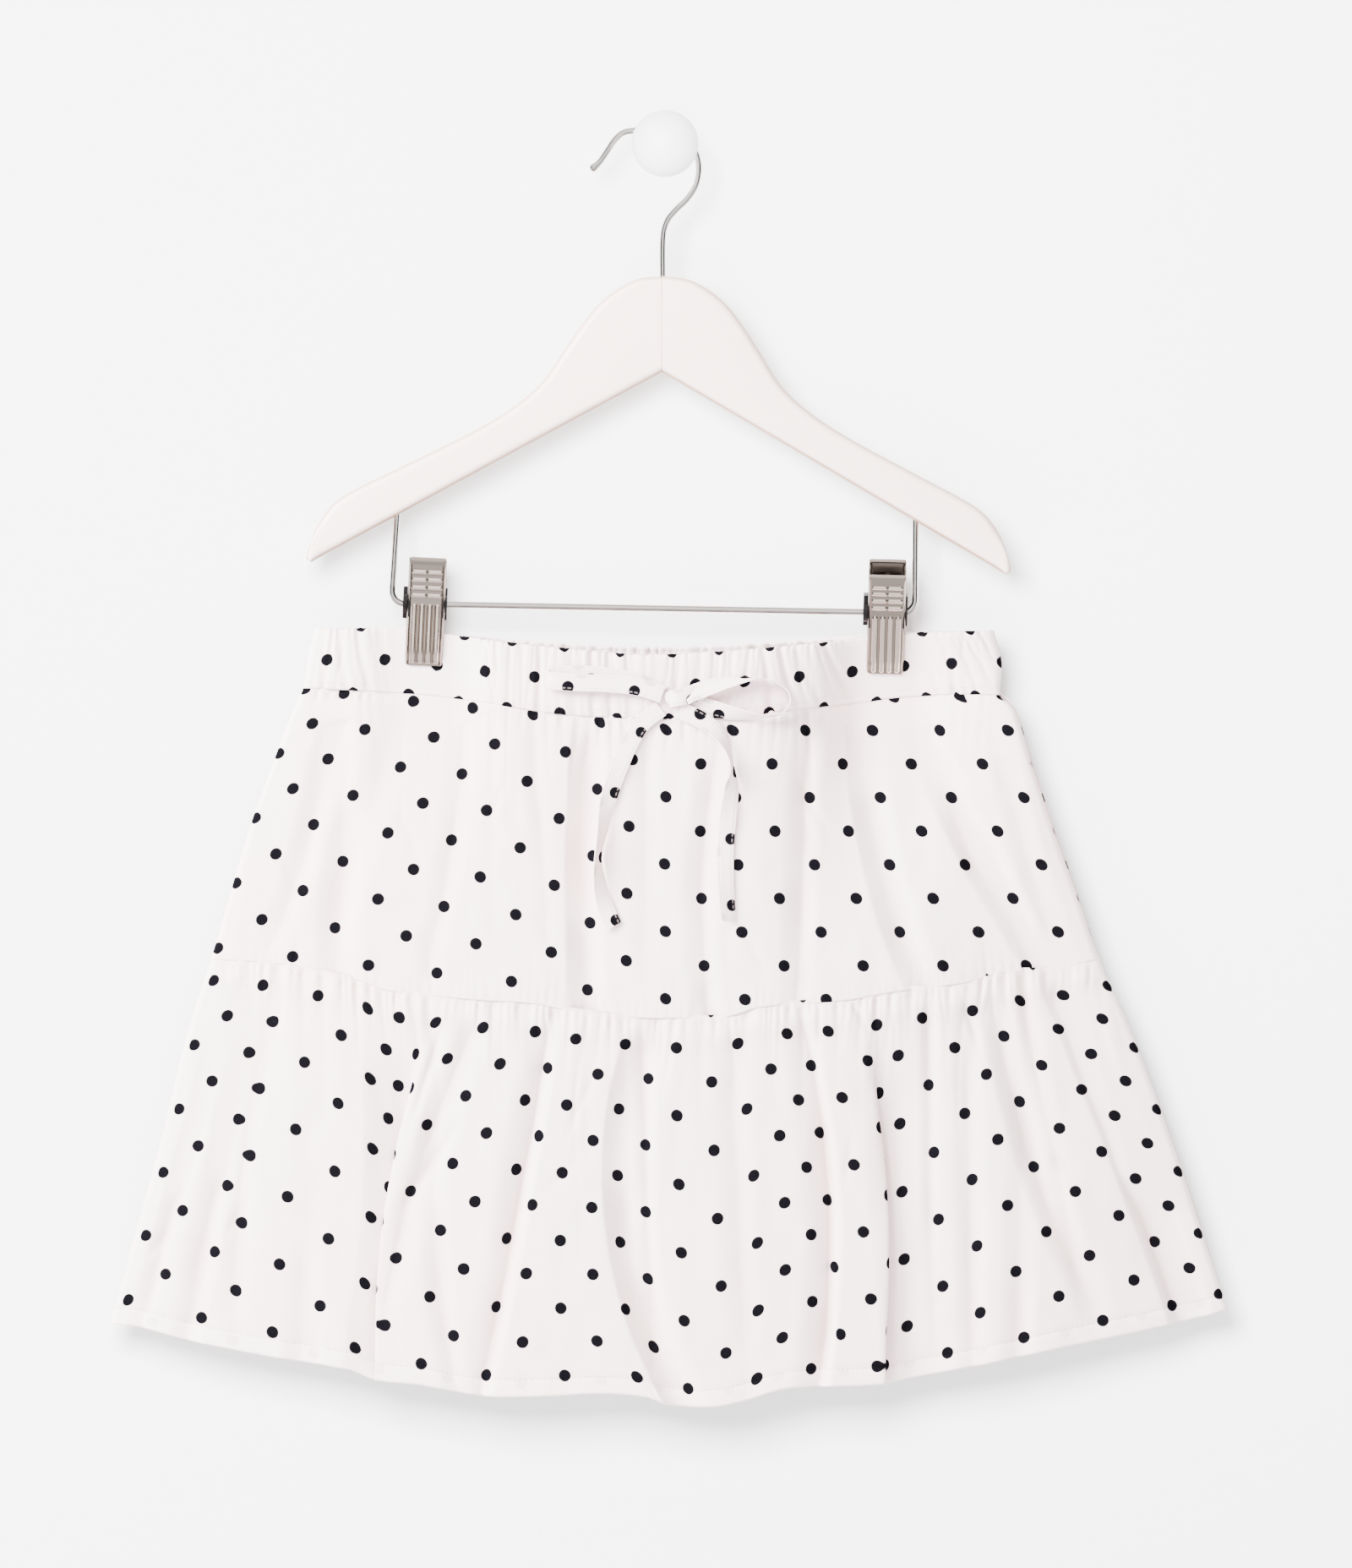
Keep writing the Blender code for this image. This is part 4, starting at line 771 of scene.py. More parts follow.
class Paint:
    """A new node material or world, and the one way that its nodes are added."""

    def __init__(self, name, world=False):
        self.owner = (bpy.data.worlds if world else bpy.data.materials).new(name)
        self.owner.use_nodes = True
        self.tree = self.owner.node_tree
        self.tree.nodes.clear()
        self.output_kind = "ShaderNodeOutputWorld" if world else "ShaderNodeOutputMaterial"

    def node(self, kind, settings=None, sockets=None, output=0):
        """Add a node: its settings first, then its sockets' values or links."""
        made = self.tree.nodes.new(kind)
        for key, value in (settings or {}).items():
            setattr(made, key, value)
        for key, value in (sockets or {}).items():
            if isinstance(value, Term):
                self.tree.links.new(value.socket, made.inputs[key])
            else:
                made.inputs[key].default_value = value
        return Term(self, made.outputs[output])

    def parts(self, vector):
        """The three numbers of a vector."""
        first = self.node("ShaderNodeSeparateXYZ", None, {0: vector})
        return [Term(self, socket) for socket in first.socket.node.outputs]

    def map_parts(self, name):
        """A mesh map and its two numbers, in metres."""
        spot = self.node("ShaderNodeUVMap", {"uv_map": name})
        return [spot] + self.parts(spot)[:2]

    def place(self, kind="Object"):
        """Place on the piece in metres, or another of its coordinates."""
        return self.node("ShaderNodeTexCoord", None, None, kind)

    def stretched(self, place, scale):
        """A place scaled along each axis."""
        return self.node("ShaderNodeMapping", None, {"Vector": place, "Scale": scale})

    def noise(self, place, scale, detail=2.0, roughness=0.5):
        """Soft noise from 0 to 1."""
        sockets = {"Vector": place, "Scale": scale, "Detail": detail, "Roughness": roughness}
        return self.node("ShaderNodeTexNoise", None, sockets)

    def blend(self, share, *colours):
        """Mix of two colours, each a term or three numbers."""
        ends = [end if isinstance(end, Term) else (*end, 1.0) for end in colours]
        sockets = {0: share, 6: ends[0], 7: ends[1]}
        return self.node("ShaderNodeMix", {"data_type": "RGBA"}, sockets, 2)

    def mottled(self, share, colour, factor):
        """A colour that is darker by a factor where share is 0."""
        return self.blend(share, scaled(colour, factor), colour)

    def bump(self, height, distance, strength=1.0):
        """Surface relief from a height."""
        sockets = {"Height": height, "Distance": distance, "Strength": strength}
        return self.node("ShaderNodeBump", None, sockets)

    def finish(self, **sockets):
        """Close the material with one Principled shader and return it."""
        named = {key.replace("_", " "): value for key, value in sockets.items()}
        shader = self.node("ShaderNodeBsdfPrincipled", None, named)
        return self.close(shader)

    def close(self, shader):
        """Link a shader to the output and return the finished material or world."""
        out = self.tree.nodes.new(self.output_kind)
        self.tree.links.new(shader.socket, out.inputs["Surface"])
        return self.owner


def scaled(colour, factor):
    """A lighter or darker colour."""
    return tuple(min(channel * factor, 1.0) for channel in colour)


def tinted(colour, factors):
    """A colour with each channel scaled by its own factor."""
    return tuple(channel * factor for channel, factor in zip(colour, factors))


# ---- Cloth's look ----

THREAD_PITCH = 0.55
STITCH_PITCH = 2.4
# Width of a dot's soft rim and of the rims of dots that show through, and how much these do.
DOT_EDGE = 0.32
GHOST_EDGE = 1.2
BEHIND_EDGE = 1.0
GHOST_SHARE = 0.16
BEHIND_SHARE = 0.28
# How far the tape's own print is shifted on its other side, in metres.
BEHIND_SHIFT = (0.0105, 0.0088)
# How much painted shade darkens the cloth in its creases, and the tint that it darkens towards.
CREASE_SHADE = 0.36
CREASE_SHADE_TINT = (0.52, 0.42, 0.36)
WARM_TINT = (1.0, 0.97, 0.9)
# A line of stitches: half its width at the foot and at the top in metres, where the gaps
# between stitches begin and end, and the relief of a gap and of the line.
Stitching = namedtuple("Stitching", "foot top gap_from gap_to gap_deep line_deep")
HEM_STITCHES = Stitching(0.0006, 0.00015, 0.12, 0.3, 3.0, 1.0)
TAPE_STITCHES = Stitching(0.0004, 0.0001, 0.1, 0.28, 2.5, 0.8)
TOP_STITCHES = Stitching(0.0005, 0.0001, 0.12, 0.3, 2.0, 0.5)
TAPE_STITCH = 0.0011
# The soft edge of the doubled hem and the shade under the frill's seam, in metres.
HEM_SOFT = 0.0003
SEAM_SHADE = 0.0016
CLOTH_RELIEF = 0.00012


def weave_height(across, down):
    """Relief of a plain weave from its two thread directions."""
    thread = 2.0 * math.pi / (THREAD_PITCH * MM)
    return (across * thread).sine() * (down * thread).sine()


def stitch_line(kind, away, along):
    """A line of stitches at a distance, its gaps, both from 0 to 1, and its relief."""
    line = away.size().rise(kind.foot, kind.top)
    place = (along / (STITCH_PITCH * MM)).fraction() - 0.5
    gap = place.size().rise(kind.gap_from, kind.gap_to)
    return line, gap, line * (gap * kind.gap_deep + kind.line_deep)


def inside_dot(distance, sizes, edge):
    """How far a place is inside a dot with a soft rim, from 0 to 1."""
    half = edge * MM / 2
    return distance.rise(sizes.dot_radius + half, sizes.dot_radius - half)


def dot_distance(across, down, wobble, stretch=1.0):
    """Distance in metres from the nearest dot of the half-drop print."""
    wide, tall = DOT_PITCH_ACROSS * MM, DOT_PITCH_DOWN * MM
    distances = []
    for shift in (0.5, 0.0):
        u = ((across / wide + shift).fraction() - 0.5) * wide * stretch
        v = ((down / tall + shift).fraction() - 0.5) * tall
        distances.append((u * u + v * v).power(0.5))
    return distances[0].least(distances[1]) + wobble


def cotton(name, sizes, finishes, dots=True, hem=False, tape=False, stitch_at=None):
    """White woven cotton, printed or plain, with its stitching, and painted shade in its creases,
    under the frill's seam and in the stitch pits.
    """
    paint = Paint(name)
    spot, across, down = paint.map_parts("cloth")
    slub = paint.noise(spot, 900.0, 3.0, 0.6)
    cloud = paint.noise(spot, 55.0, 2.0, 0.5)
    base = finishes.cotton
    shade = slub * 0.5 + cloud * 0.5
    colour = paint.mottled(shade, base, 0.955)
    warm = paint.noise(paint.place(), 11.0, 1.0, 0.5).rise(0.42, 0.62)
    colour = paint.blend(warm * 0.5, colour, tinted(base, WARM_TINT))
    height = weave_height(across, down) * 0.35 + slub * 0.65
    stretch = 1.0
    if dots and not tape:
        # Painted shade: the cloth is darkened towards a warm tint where it lies deep in a crease.
        _, stretch, crease = paint.map_parts("gather")
        colour = paint.blend(crease * CREASE_SHADE, colour, tinted(base, CREASE_SHADE_TINT))
    if hem:
        _, above_hem, below_seam = paint.map_parts("edges")
        doubled = above_hem.rise(sizes.hem_depth + HEM_SOFT, sizes.hem_depth - HEM_SOFT)
        colour = paint.blend(doubled * 0.6, colour, scaled(base, 1.06))
        turned_up = above_hem * 2.0 + down
        ghost = dot_distance(across, turned_up, cloud * 0.0003, stretch)
        faint = inside_dot(ghost, sizes, GHOST_EDGE) * doubled
        colour = paint.blend(faint * GHOST_SHARE, colour, finishes.dots)
        seam_line = above_hem - sizes.hem_depth + cloud * 0.0004
        line, gap, relief = stitch_line(HEM_STITCHES, seam_line, across)
        # Painted shade: the stitch line is darker in the pits between stitches.
        colour = paint.blend(line * gap * 0.2, colour, scaled(base, 0.62))
        height = height - relief
        # Painted shade on the frill just below its seam.
        under_seam_shade = below_seam.rise(SEAM_SHADE, 0.0)
        colour = paint.blend(under_seam_shade * 0.25, colour, scaled(base, 0.7))
    if dots:
        wobble = (slub - 0.5) * 0.00022 + (cloud - 0.5) * 0.0002
        dot = inside_dot(dot_distance(across, down, wobble, stretch), sizes, DOT_EDGE)
        if tape:
            behind = dot_distance(across + BEHIND_SHIFT[0], down + BEHIND_SHIFT[1], wobble)
            under = inside_dot(behind, sizes, BEHIND_EDGE)
            colour = paint.blend(under * BEHIND_SHARE, colour, finishes.dots)
        ink = paint.blend(slub, finishes.dots, scaled(finishes.dots, 1.9))
        colour = paint.blend(dot, colour, ink)
    if tape:
        _, from_edge, _ = paint.map_parts("edges")
        line, gap, relief = stitch_line(TAPE_STITCHES, from_edge - TAPE_STITCH, down)
        height = height - relief
        # Painted shade: the stitch line is darker in the pits between stitches.
        colour = paint.blend(line * gap * 0.25, colour, scaled(base, 0.7))
    if stitch_at is not None:
        _, _, from_top = paint.map_parts("edges")
        line_at = from_top - stitch_at + cloud * 0.0003
        _, _, relief = stitch_line(TOP_STITCHES, line_at, across)
        height = height - relief
    return paint.finish(
        Base_Color=colour, Roughness=0.92, Normal=paint.bump(height, CLOTH_RELIEF, 0.5),
        Specular_IOR_Level=0.0,
    )


# ---- Looks of wood, metal and paint ----

WOOD_RIM_SHADE_TINT = (0.42, 0.32, 0.25)
WOOD_GRAIN = (12.0, 60.0, 160.0)
RIB_HEIGHT = 0.65
DARK_REFLECTION_TINT = (0.3, 0.25, 0.22)


def painted_wood(finishes):
    """White paint on wood: brushed grain, a few faintly darker patches, rims darkened partly by
    wear and partly by painted shade, and painted shade on the undersides.
    """
    paint = Paint("white painted wood")
    place = paint.place()
    long_way = paint.stretched(place, WOOD_GRAIN)
    grain = paint.noise(long_way, 6.0, 4.0, 0.6)
    patch = paint.noise(place, 30.0, 2.0, 0.5)
    brush = paint.noise(long_way, 2.2, 2.0, 0.5)
    base = finishes.wood
    colour = paint.mottled(patch, base, 0.96)
    colour = paint.blend(grain.rise(0.58, 0.8) * 0.18, colour, scaled(base, 0.84))
    _, facing, under = paint.parts(paint.place("Normal"))
    facing = facing.size()
    # Painted shade, with some wear: the rounded rims darken as they turn away from the front, and
    # the undersides darken more.
    painted_light_on_relief = facing.rise(0.99, 0.45) * 0.75
    rim = painted_light_on_relief + facing.rise(0.9, 0.2) * under.rise(-0.2, -0.7) * 0.9
    colour = paint.blend(rim, colour, tinted(base, WOOD_RIM_SHADE_TINT))
    rough = 0.34 + brush * 0.16
    relief = paint.bump(grain * 0.7 + brush * 0.6, 0.00022, 0.5)
    return paint.finish(
        Base_Color=colour, Roughness=rough, Normal=relief, Specular_IOR_Level=0.35,
        Coat_Weight=0.12, Coat_Roughness=0.3,
    )


def worn_metal(name, colour, roughness, streak, scratches, ribbed=False, dark_reflection=0.0):
    """Plated steel with fine scratches, a painted highlight on the ribs and painted dark
    reflections on the faces turned up and down.
    """
    paint = Paint(name)
    place = paint.place()
    lines = paint.noise(paint.stretched(place, streak), 40.0, 3.0, 0.6)
    cloud = paint.noise(place, 140.0, 2.0, 0.5)
    tint = paint.mottled(cloud, colour, 0.86)
    tint = paint.blend(lines.rise(0.6, 0.82) * scratches, tint, scaled(colour, 0.7))
    if ribbed:
        # Painted highlight: the ribs are much lighter than the plate, which is darkened round
        # them.
        raised = paint.map_parts("relief")[1]
        painted_light_on_relief = raised.rise(RIB_HEIGHT * 0.25 * MM, RIB_HEIGHT * 0.9 * MM)
        tint = paint.blend(painted_light_on_relief, scaled(colour, 0.72), scaled(colour, 1.7))
    if dark_reflection:
        # Painted dark reflection: faces turned up and faces turned down are darkened towards a
        # dark warm tint.
        turned = paint.parts(paint.place("Normal"))[2]
        share = turned.size().rise(0.15, 0.6) * dark_reflection
        tint = paint.blend(share, tint, tinted(colour, DARK_REFLECTION_TINT))
    rough = roughness + (lines - 0.5) * 0.12 + (cloud - 0.5) * 0.1
    relief = paint.bump(lines * 0.7 + cloud * 0.3, 0.00006, 0.35)
    return paint.finish(Base_Color=tint, Metallic=1.0, Roughness=rough, Normal=relief)


def knob_paint(finishes):
    """Sprayed white paint with a faint orange peel."""
    paint = Paint("white sprayed knob")
    place = paint.place()
    peel = paint.noise(place, 420.0, 2.0, 0.5)
    cloud = paint.noise(place, 60.0, 2.0, 0.5)
    colour = paint.mottled(cloud, finishes.knob, 0.965)
    rough = 0.4 + cloud * 0.12
    relief = paint.bump(peel, 0.00008, 0.3)
    return paint.finish(
        Base_Color=colour, Roughness=rough, Normal=relief, Specular_IOR_Level=0.3
    )


def wall_paint(name, colour, one_sided):
    """Matt paint of the backdrop; a one-sided wall is clear from behind."""
    paint = Paint(name)
    place = paint.place()
    cloud = paint.noise(place, 3.0, 2.0, 0.5)
    tint = paint.mottled(cloud, colour, 0.985)
    sockets = {"Base Color": tint, "Roughness": 1.0, "Specular IOR Level": 0.0}
    face = paint.node("ShaderNodeBsdfPrincipled", None, sockets)
    if one_sided:
        behind = paint.node("ShaderNodeNewGeometry", None, None, "Backfacing")
        clear = paint.node("ShaderNodeBsdfTransparent")
        face = paint.node("ShaderNodeMixShader", None, {0: behind, 1: face, 2: clear})
    return paint.close(face)


# ---- Waistband, tier and frill ----

HEM_DEPTH = 7.2
BAND_LEAN = 0.55
CLOTH_WALL = 0.6
# Stitch lines, from the top of the band and of the tier.
BAND_STITCH = 24.6
TIER_STITCH = 1.6
TUCK_RISE = 1.6
TUCK_IN = 0.7
# What is added to the random seeds of the back.
BACK_SEED = 100
# Each dotted panel: how its piece's and its solid's names begin, its mesh's columns and
# rows, its dot columns, its first and last ring, how its rows crowd at the ends, the
# millimetres for each column number, its step outwards, its length, its thickness and its
# random seed.
Panel = namedtuple(
    "Panel", "piece node grid columns top bottom crowd per_number step_out length wall seed"
)
BAND, TIER, FRILL = table(
    Panel,
    (
        "band_", "waistband_", {"front": (560, 30), "back": (400, 22)},
        BAND_COLUMNS, BAND_TOP, WAIST_SEAM, 0.0, 11.0, 1.0, 27.0, 1.4, 11,
    ),
    (
        "tier_cloth_", "tier_", {"front": (460, 74), "back": (320, 56)},
        TIER_COLUMNS, WAIST_SEAM, TIER_SEAM, 0.5, 15.0, LAYER_STEP, 122.0, CLOTH_WALL, 41,
    ),
    (
        "frill_cloth_", "flounce_", {"front": (600, 80), "back": (440, 60)},
        FRILL_COLUMNS, TIER_SEAM, HEM, 0.5, 13.0, LAYER_STEP, 163.0, CLOTH_WALL, 61,
    ),
)


def front_x(side, x, places):
    """Columns as they would stand on the front, whose folds the back takes turned over."""
    if side == "front":
        return x
    ring = rings_at(places)
    return ring.left_x + ring.right_x - x


def places_down(top, bottom, share):
    """Places in the ring table at even heights between two of its rings."""
    keys = np.linspace(top, bottom, 200)
    heights = rings_at(keys).left_z[:, 0]
    wanted = heights[0] + (heights[-1] - heights[0]) * share[:, 0]
    return np.interp(-wanted, -heights, keys)


def rows_down(count, crowd):
    """Shares down a panel, closer together near its two ends by a crowding."""
    even = np.linspace(0.0, 1.0, count)
    return (even - crowd * np.sin(2.0 * math.pi * even) / (2.0 * math.pi))[:, None]


def lay_out(panel, side):
    """Shares down a panel, places, column numbers, columns, way down and random seed."""
    columns, rows = panel.grid[side]
    share = rows_down(rows, panel.crowd)
    places = places_down(panel.top, panel.bottom, share)
    numbers = panel_numbers(panel.columns, columns, panel.per_number)
    x = panel_x(side, panel.columns, numbers, places, share, panel.step_out)
    down = np.broadcast_to(share * panel.length, x.shape)
    return share, places, numbers, x, down, panel.seed + (0 if side == "front" else BACK_SEED)


def tuck_under(points, side):
    """Take a panel's first row up behind the panel that it is sewn to."""
    points[0, :, 2] += TUCK_RISE
    points[0, :, 1] += TUCK_IN if side == "front" else -TUCK_IN


def print_map(numbers, down):
    """Map of the print: half pitches across and millimetres down the cloth."""
    across = np.broadcast_to(numbers[None, :] * DOT_PITCH_ACROSS / 2, down.shape)
    return np.stack([across, down], axis=-1)


def dotted_piece(panel, side, points, numbers, drop, down, material):
    """A settled panel with its print, which the back light reaches if it is at the back."""
    piece = cloth_object(
        panel.piece + side, points, panel.wall, material, cloth=print_map(numbers, drop),
        edges=np.stack([panel.length - down, down], axis=-1),
        gather=gather_map(points, numbers, side),
    )
    settle(piece, "dotted_cotton", panel.node + side)
    if side == "back":
        light_back(piece)
    return piece


def band_panel(side, material):
    """Elastic waistband of doubled cloth, drawn into uneven ruches."""
    _, places, numbers, x, down, seed = lay_out(BAND, side)
    above = BAND.length - down
    along = x - BAND_LEAN * smoothstep(20.0, 90.0, x) * down
    tiny = -puckers(BAND_TOP_PUCKERS, seed, x, down)
    sink = 1.25 * -puckers(BAND_RUCHES, seed, along, down) + 0.9 * tiny
    sink = sink + 0.5 * -puckers(BAND_FOOT_PUCKERS, seed, x, above)
    sink = sink + swelling(BAND_SWELL, seed, x, down)
    sink = sink + 1.0 * np.clip(1.0 - down / 1.7, 0.0, 1.0) ** 2 + 0.9 * groove(above, 2.0)
    points = hang(side, x, places, sink, BAND.step_out, 0.8)
    points[..., 2] -= 0.3 * np.clip(1.0 - down / 5.0, 0.0, 1.0) * tiny
    drop = points[:1, :, 2] - points[..., 2] - BAND_DOT_DROP[side]
    piece = dotted_piece(BAND, side, points, numbers, drop, down, material)


def tier_panel(side, material):
    """Upper tier: an A-line panel gathered a little into the waist seam."""
    share, places, numbers, x, down, seed = lay_out(TIER, side)
    above = TIER.length - down
    plain_x = front_x(side, x, places)
    sink = fold_sink(TIER_FOLDS, plain_x, share)
    sink = sink * (0.3 + 0.7 * smoothstep(0.0, 0.12, share))
    sink = sink + crease_sink(plain_x, rings_at(places).left_z - 4.0)
    sink = sink - puckers(TIER_TOP_PUCKERS, seed, x, down) * from_seam(down)
    sink = sink - puckers(TIER_FOOT_PUCKERS, seed, x, above) * from_seam(above)
    for row in TIER_SWELLS:
        sink = sink + swelling(row, seed, x, down) * smoothstep(0.0, row.full, share)
    sink = sink + 0.3 * groove(down, 1.2) + 0.3 * groove(above, 1.6)
    points = hang(side, x, places, sink, TIER.step_out)
    tuck_under(points, side)
    tilt = TIER_PRINT_TILT * np.minimum(x - px_x(TIER_DOT_PX.x), 0.0)
    drop = px_z(TIER_DOT_PX.y) - points[..., 2] - tilt
    piece = dotted_piece(TIER, side, points, numbers, drop, down, material)


def frill_panel(side, material):
    """Gathered frill with its laps, troughs, seam puckers and stitched hem."""
    share, places, numbers, x, down, seed = lay_out(FRILL, side)
    above = FRILL.length - down
    plain_x = front_x(side, x, places)
    sink = fold_sink(FRILL_FOLDS, plain_x, share)
    sink = sink * (0.25 + 0.75 * smoothstep(0.0, 0.1, share))
    sink = sink + crease_sink(plain_x, rings_at(places).left_z - 18.0)
    for lap in LAPS:
        deep = hermite([row.number for row in lap], [row.deep for row in lap], numbers)
        sink = sink + np.maximum(deep, 0.0)[None, :] * smoothstep(LAP_BEGINS, LAP_FULL, share)
    sink = sink - puckers(FRILL_TOP_PUCKERS, seed, x, down) * from_seam(down)
    for row in FRILL_SWELLS:
        sink = sink + swelling(row, seed, x, down) * smoothstep(0.0, row.full, share)
    sink = sink - puckers(HEM_PUCKERS, seed, x + 0.8 * above, above)
    sink = sink + 0.45 * groove(above - HEM_DEPTH, 0.9) + 0.3 * groove(down, 1.2)
    points = hang(side, x, places, sink, FRILL.step_out, 1.6 * groove(down - 7.0, 6.0))
    tuck_under(points, side)
    first = np.interp(numbers, (numbers[0], 0.0), FRILL_DOT_DROP)[None, :]
    piece = dotted_piece(FRILL, side, points, numbers, down - first, down, material)


# ---- The inner shorts ----

Leg = namedtuple("Leg", "z outer_x inner_x depth joined sag")
LEG_RINGS = table(
    Leg,
    (-247, 149.5, 0, 1, 1, 11),
    (-266, 152, 0, 1.1, 1, 10),
    (-304, 159, 0, 1.7, 1, 8),
    (-352, 165, 0.4, 2.8, 1, 4),
    (-376, 168, 0.8, 3.6, 0.45, 1),
    (-394, 169, 0.8, 4.2, 0, 0),
    (-440, 173, 8, 5, 0, 0),
)
SKORT_MIDDLE_X = -5.7
LEG_ROUND = 1.0
LEG_GAP = 0.15
SHORTS_DROP = 0.3
SHORTS_GRID = (64, 44)
SEAM_CROWD = 0.35
SHORTS_LENGTH = 205.0
SHORTS_STITCH = 200.0


def leg_rows(side, right, shares):
    """Rows of one shorts panel in millimetres, from the waist seam to the leg's hem."""
    hand = 1.0 if right else -1.0
    middle, half = span(rings_at([WAIST_SEAM]))
    half = half - LAYER_STEP
    start = (SKORT_MIDDLE_X + hand * LEG_GAP - middle) / half
    x = middle + half * (start + (hand - start) * shares[None, :])
    top = hang(side, x, [WAIST_SEAM], np.zeros_like(x), -LAYER_STEP)[0]
    top[:, 2] -= SHORTS_DROP
    rows = [top]
    for leg in LEG_RINGS:
        inner = leg.inner_x + LEG_GAP
        out = inner + (leg.outer_x - inner) * shares
        x = SKORT_MIDDLE_X + hand * out
        z = leg.z - leg.sag * np.maximum(1.0 - (out / leg.outer_x) ** 2, 0.0) ** 2
        width = leg.outer_x - leg.inner_x
        centre = 0.5 * (1.0 - leg.joined)
        outer_away = (shares - centre) / (1.0 - centre)
        inner_away = 2.0 * (centre - shares)
        away = np.where(shares >= centre, outer_away, inner_away)
        outer_end = side_round((1.0 - shares) * width, LEG_ROUND)
        inner_end = side_round(shares * width, LEG_ROUND)
        inner_end = inner_end + (LEG_ROUND - inner_end) * leg.joined
        dome = (leg.depth - LEG_ROUND) * (1.0 - np.abs(away) ** SIDE_DOME)
        depth = np.minimum(outer_end, inner_end) + dome
        near = np.minimum(PINCH_DEPTH - LAYER_STEP, depth)
        depth = depth + (near - depth) * grip_at(x, z)
        rows.append(stand_off(side, x, depth, z))
    return np.array(rows)


def shorts_panel(side, right, material):
    """One of the four plain panels of the inner shorts."""
    columns, rows = SHORTS_GRID
    turn = np.linspace(0.0, math.pi, columns)
    even = np.linspace(0.0, 1.0, columns)
    shares = SEAM_CROWD * (0.5 - 0.5 * np.cos(turn)) + (1.0 - SEAM_CROWD) * even
    coarse = leg_rows(side, right, shares)
    keys = np.arange(len(coarse))
    at = np.linspace(0.0, keys[-1], rows)
    flat = coarse.reshape(len(coarse), -1)
    points = np.stack([np.interp(at, keys, line) for line in flat.T], axis=-1)
    points = points.reshape(rows, columns, 3)
    down = np.broadcast_to((at / keys[-1] * SHORTS_LENGTH)[:, None], points.shape[:2])
    across = points[..., 0]
    edges = np.stack([SHORTS_LENGTH - down, down + 5.0], axis=-1)
    printed = np.stack([across, down], axis=-1)
    if right != (side == "front"):
        points, printed, edges = points[:, ::-1], printed[:, ::-1], edges[:, ::-1]
    name = "{}_{}".format("right" if right else "left", side)
    piece = cloth_object(
        "shorts_cloth_" + name, points, CLOTH_WALL, material, cloth=printed, edges=edges
    )
    settle(piece, "plain_cotton", "shorts_" + name)


# ---- The bow ----

Tape = namedtuple("Tape", "x z twist lift")
LOOP_LEFT = table(
    Tape,
    (-0.6, -233.8, 0, 0.5), (-12, -228.6, 0, 0.5), (-27, -225.9, 0, 0.5), (-41, -225.4, 0, 0.5),
    (-48.2, -226.6, 0, 1.2), (-49.6, -227.4, 0, 2.4), (-48, -228.2, 0, 3.6), (-38, -229, 0, 3.9),
    (-25, -229.4, 0, 3.7), (-12, -230.8, 0, 3.5), (-1.2, -234, 0, 3.4),
)
LOOP_RIGHT = table(
    Tape,
    (8.6, -235, 8, 3.4), (17, -231.6, 20, 3), (28, -228.6, 50, 1.8), (37.5, -227.4, 84, 0.8),
    (46, -228.6, 90, 0.7), (52.2, -232.6, 90, 0.7), (53, -238, 90, 0.7), (48.4, -242.6, 90, 0.7),
    (38.6, -243.4, 72, 0.7), (27, -241.6, 36, 0.6), (15, -238.6, 8, 0.5), (8.4, -237.6, 0, 0.5),
)
TAIL_LEFT = table(
    Tape,
    (-1.8, -240, 0, 0.5), (-9.6, -246.2, 0, 0.6), (-15, -255, 0, 0.7), (-20.4, -267.6, 6, 0.7),
    (-24.4, -280, 24, 0.7), (-26.8, -293, 56, 0.7), (-28.4, -304, 66, 0.7), (-27.6, -315, 42, 0.7),
    (-25, -325, 14, 0.7), (-21.8, -332.6, 8, 0.7),
)
TAIL_RIGHT = table(
    Tape,
    (6.2, -240.6, 0, 2.1), (14.6, -244.4, 6, 2.1), (21.6, -249.6, 30, 1.4), (26.4, -257, 66, 0.7),
    (28.6, -265.6, 76, 0.7), (28.2, -274.6, 34, 0.7), (26.6, -288, 10, 0.7), (25.6, -303, 6, 0.7),
    (26, -318, 20, 0.7), (27.2, -330.6, 34, 0.7),
)
WRAP = table(
    Tape,
    (13, -233.6, 12, 2.6), (10, -234.6, 10, 3.4), (6.6, -235.2, 5, 4.2), (3.9, -235.6, 0, 4.2),
    (2.5, -235.9, 0, 3), (3.4, -236.2, 0, 1.8), (7, -237, 0, 1.2),
)
TAPE_CLOTH = 0.9
TAPE_STEPS = 8
TAPE_ACROSS = 8
TAPE_EASINGS = 6
# How far the tape cups, how thin its edges get and how much its turned edges swell.
TAPE_CUP = 0.25
TAPE_ROUND = 0.55
TAPE_SWELL = 0.16
TURN_LIMIT = 0.8
WRAP_SEED = 11
KNOT_AT = (4.6, -235.6)
KNOT_SIZE = (9.4, 3.6, 6.6)
KNOT_SQUARE = 0.75
KNOT_CREASE = 0.07
KNOT_LEAN = -0.16
KNOT_REACH = 3.0
KNOT_LIFT = 0.5
KNOT_TURNS = 48
KNOT_RINGS = 28
WELD_DISTANCE = 0.02
FORWARD = Vector((0.0, -1.0, 0.0))
RAY_FROM = -200.0


def table_at(rows, place):
    """Smoothly read the number columns of a table at a row place such as 2.5."""
    keys = np.arange(len(rows))
    return rows[0]._make([float(hermite(keys, column, place)) for column in zip(*rows)])


def cloth_trees(*pieces):
    """Ray trees of the cloth that the bow lies on."""
    graph = bpy.context.evaluated_depsgraph_get()
    return [BVHTree.FromObject(piece, graph) for piece in pieces]


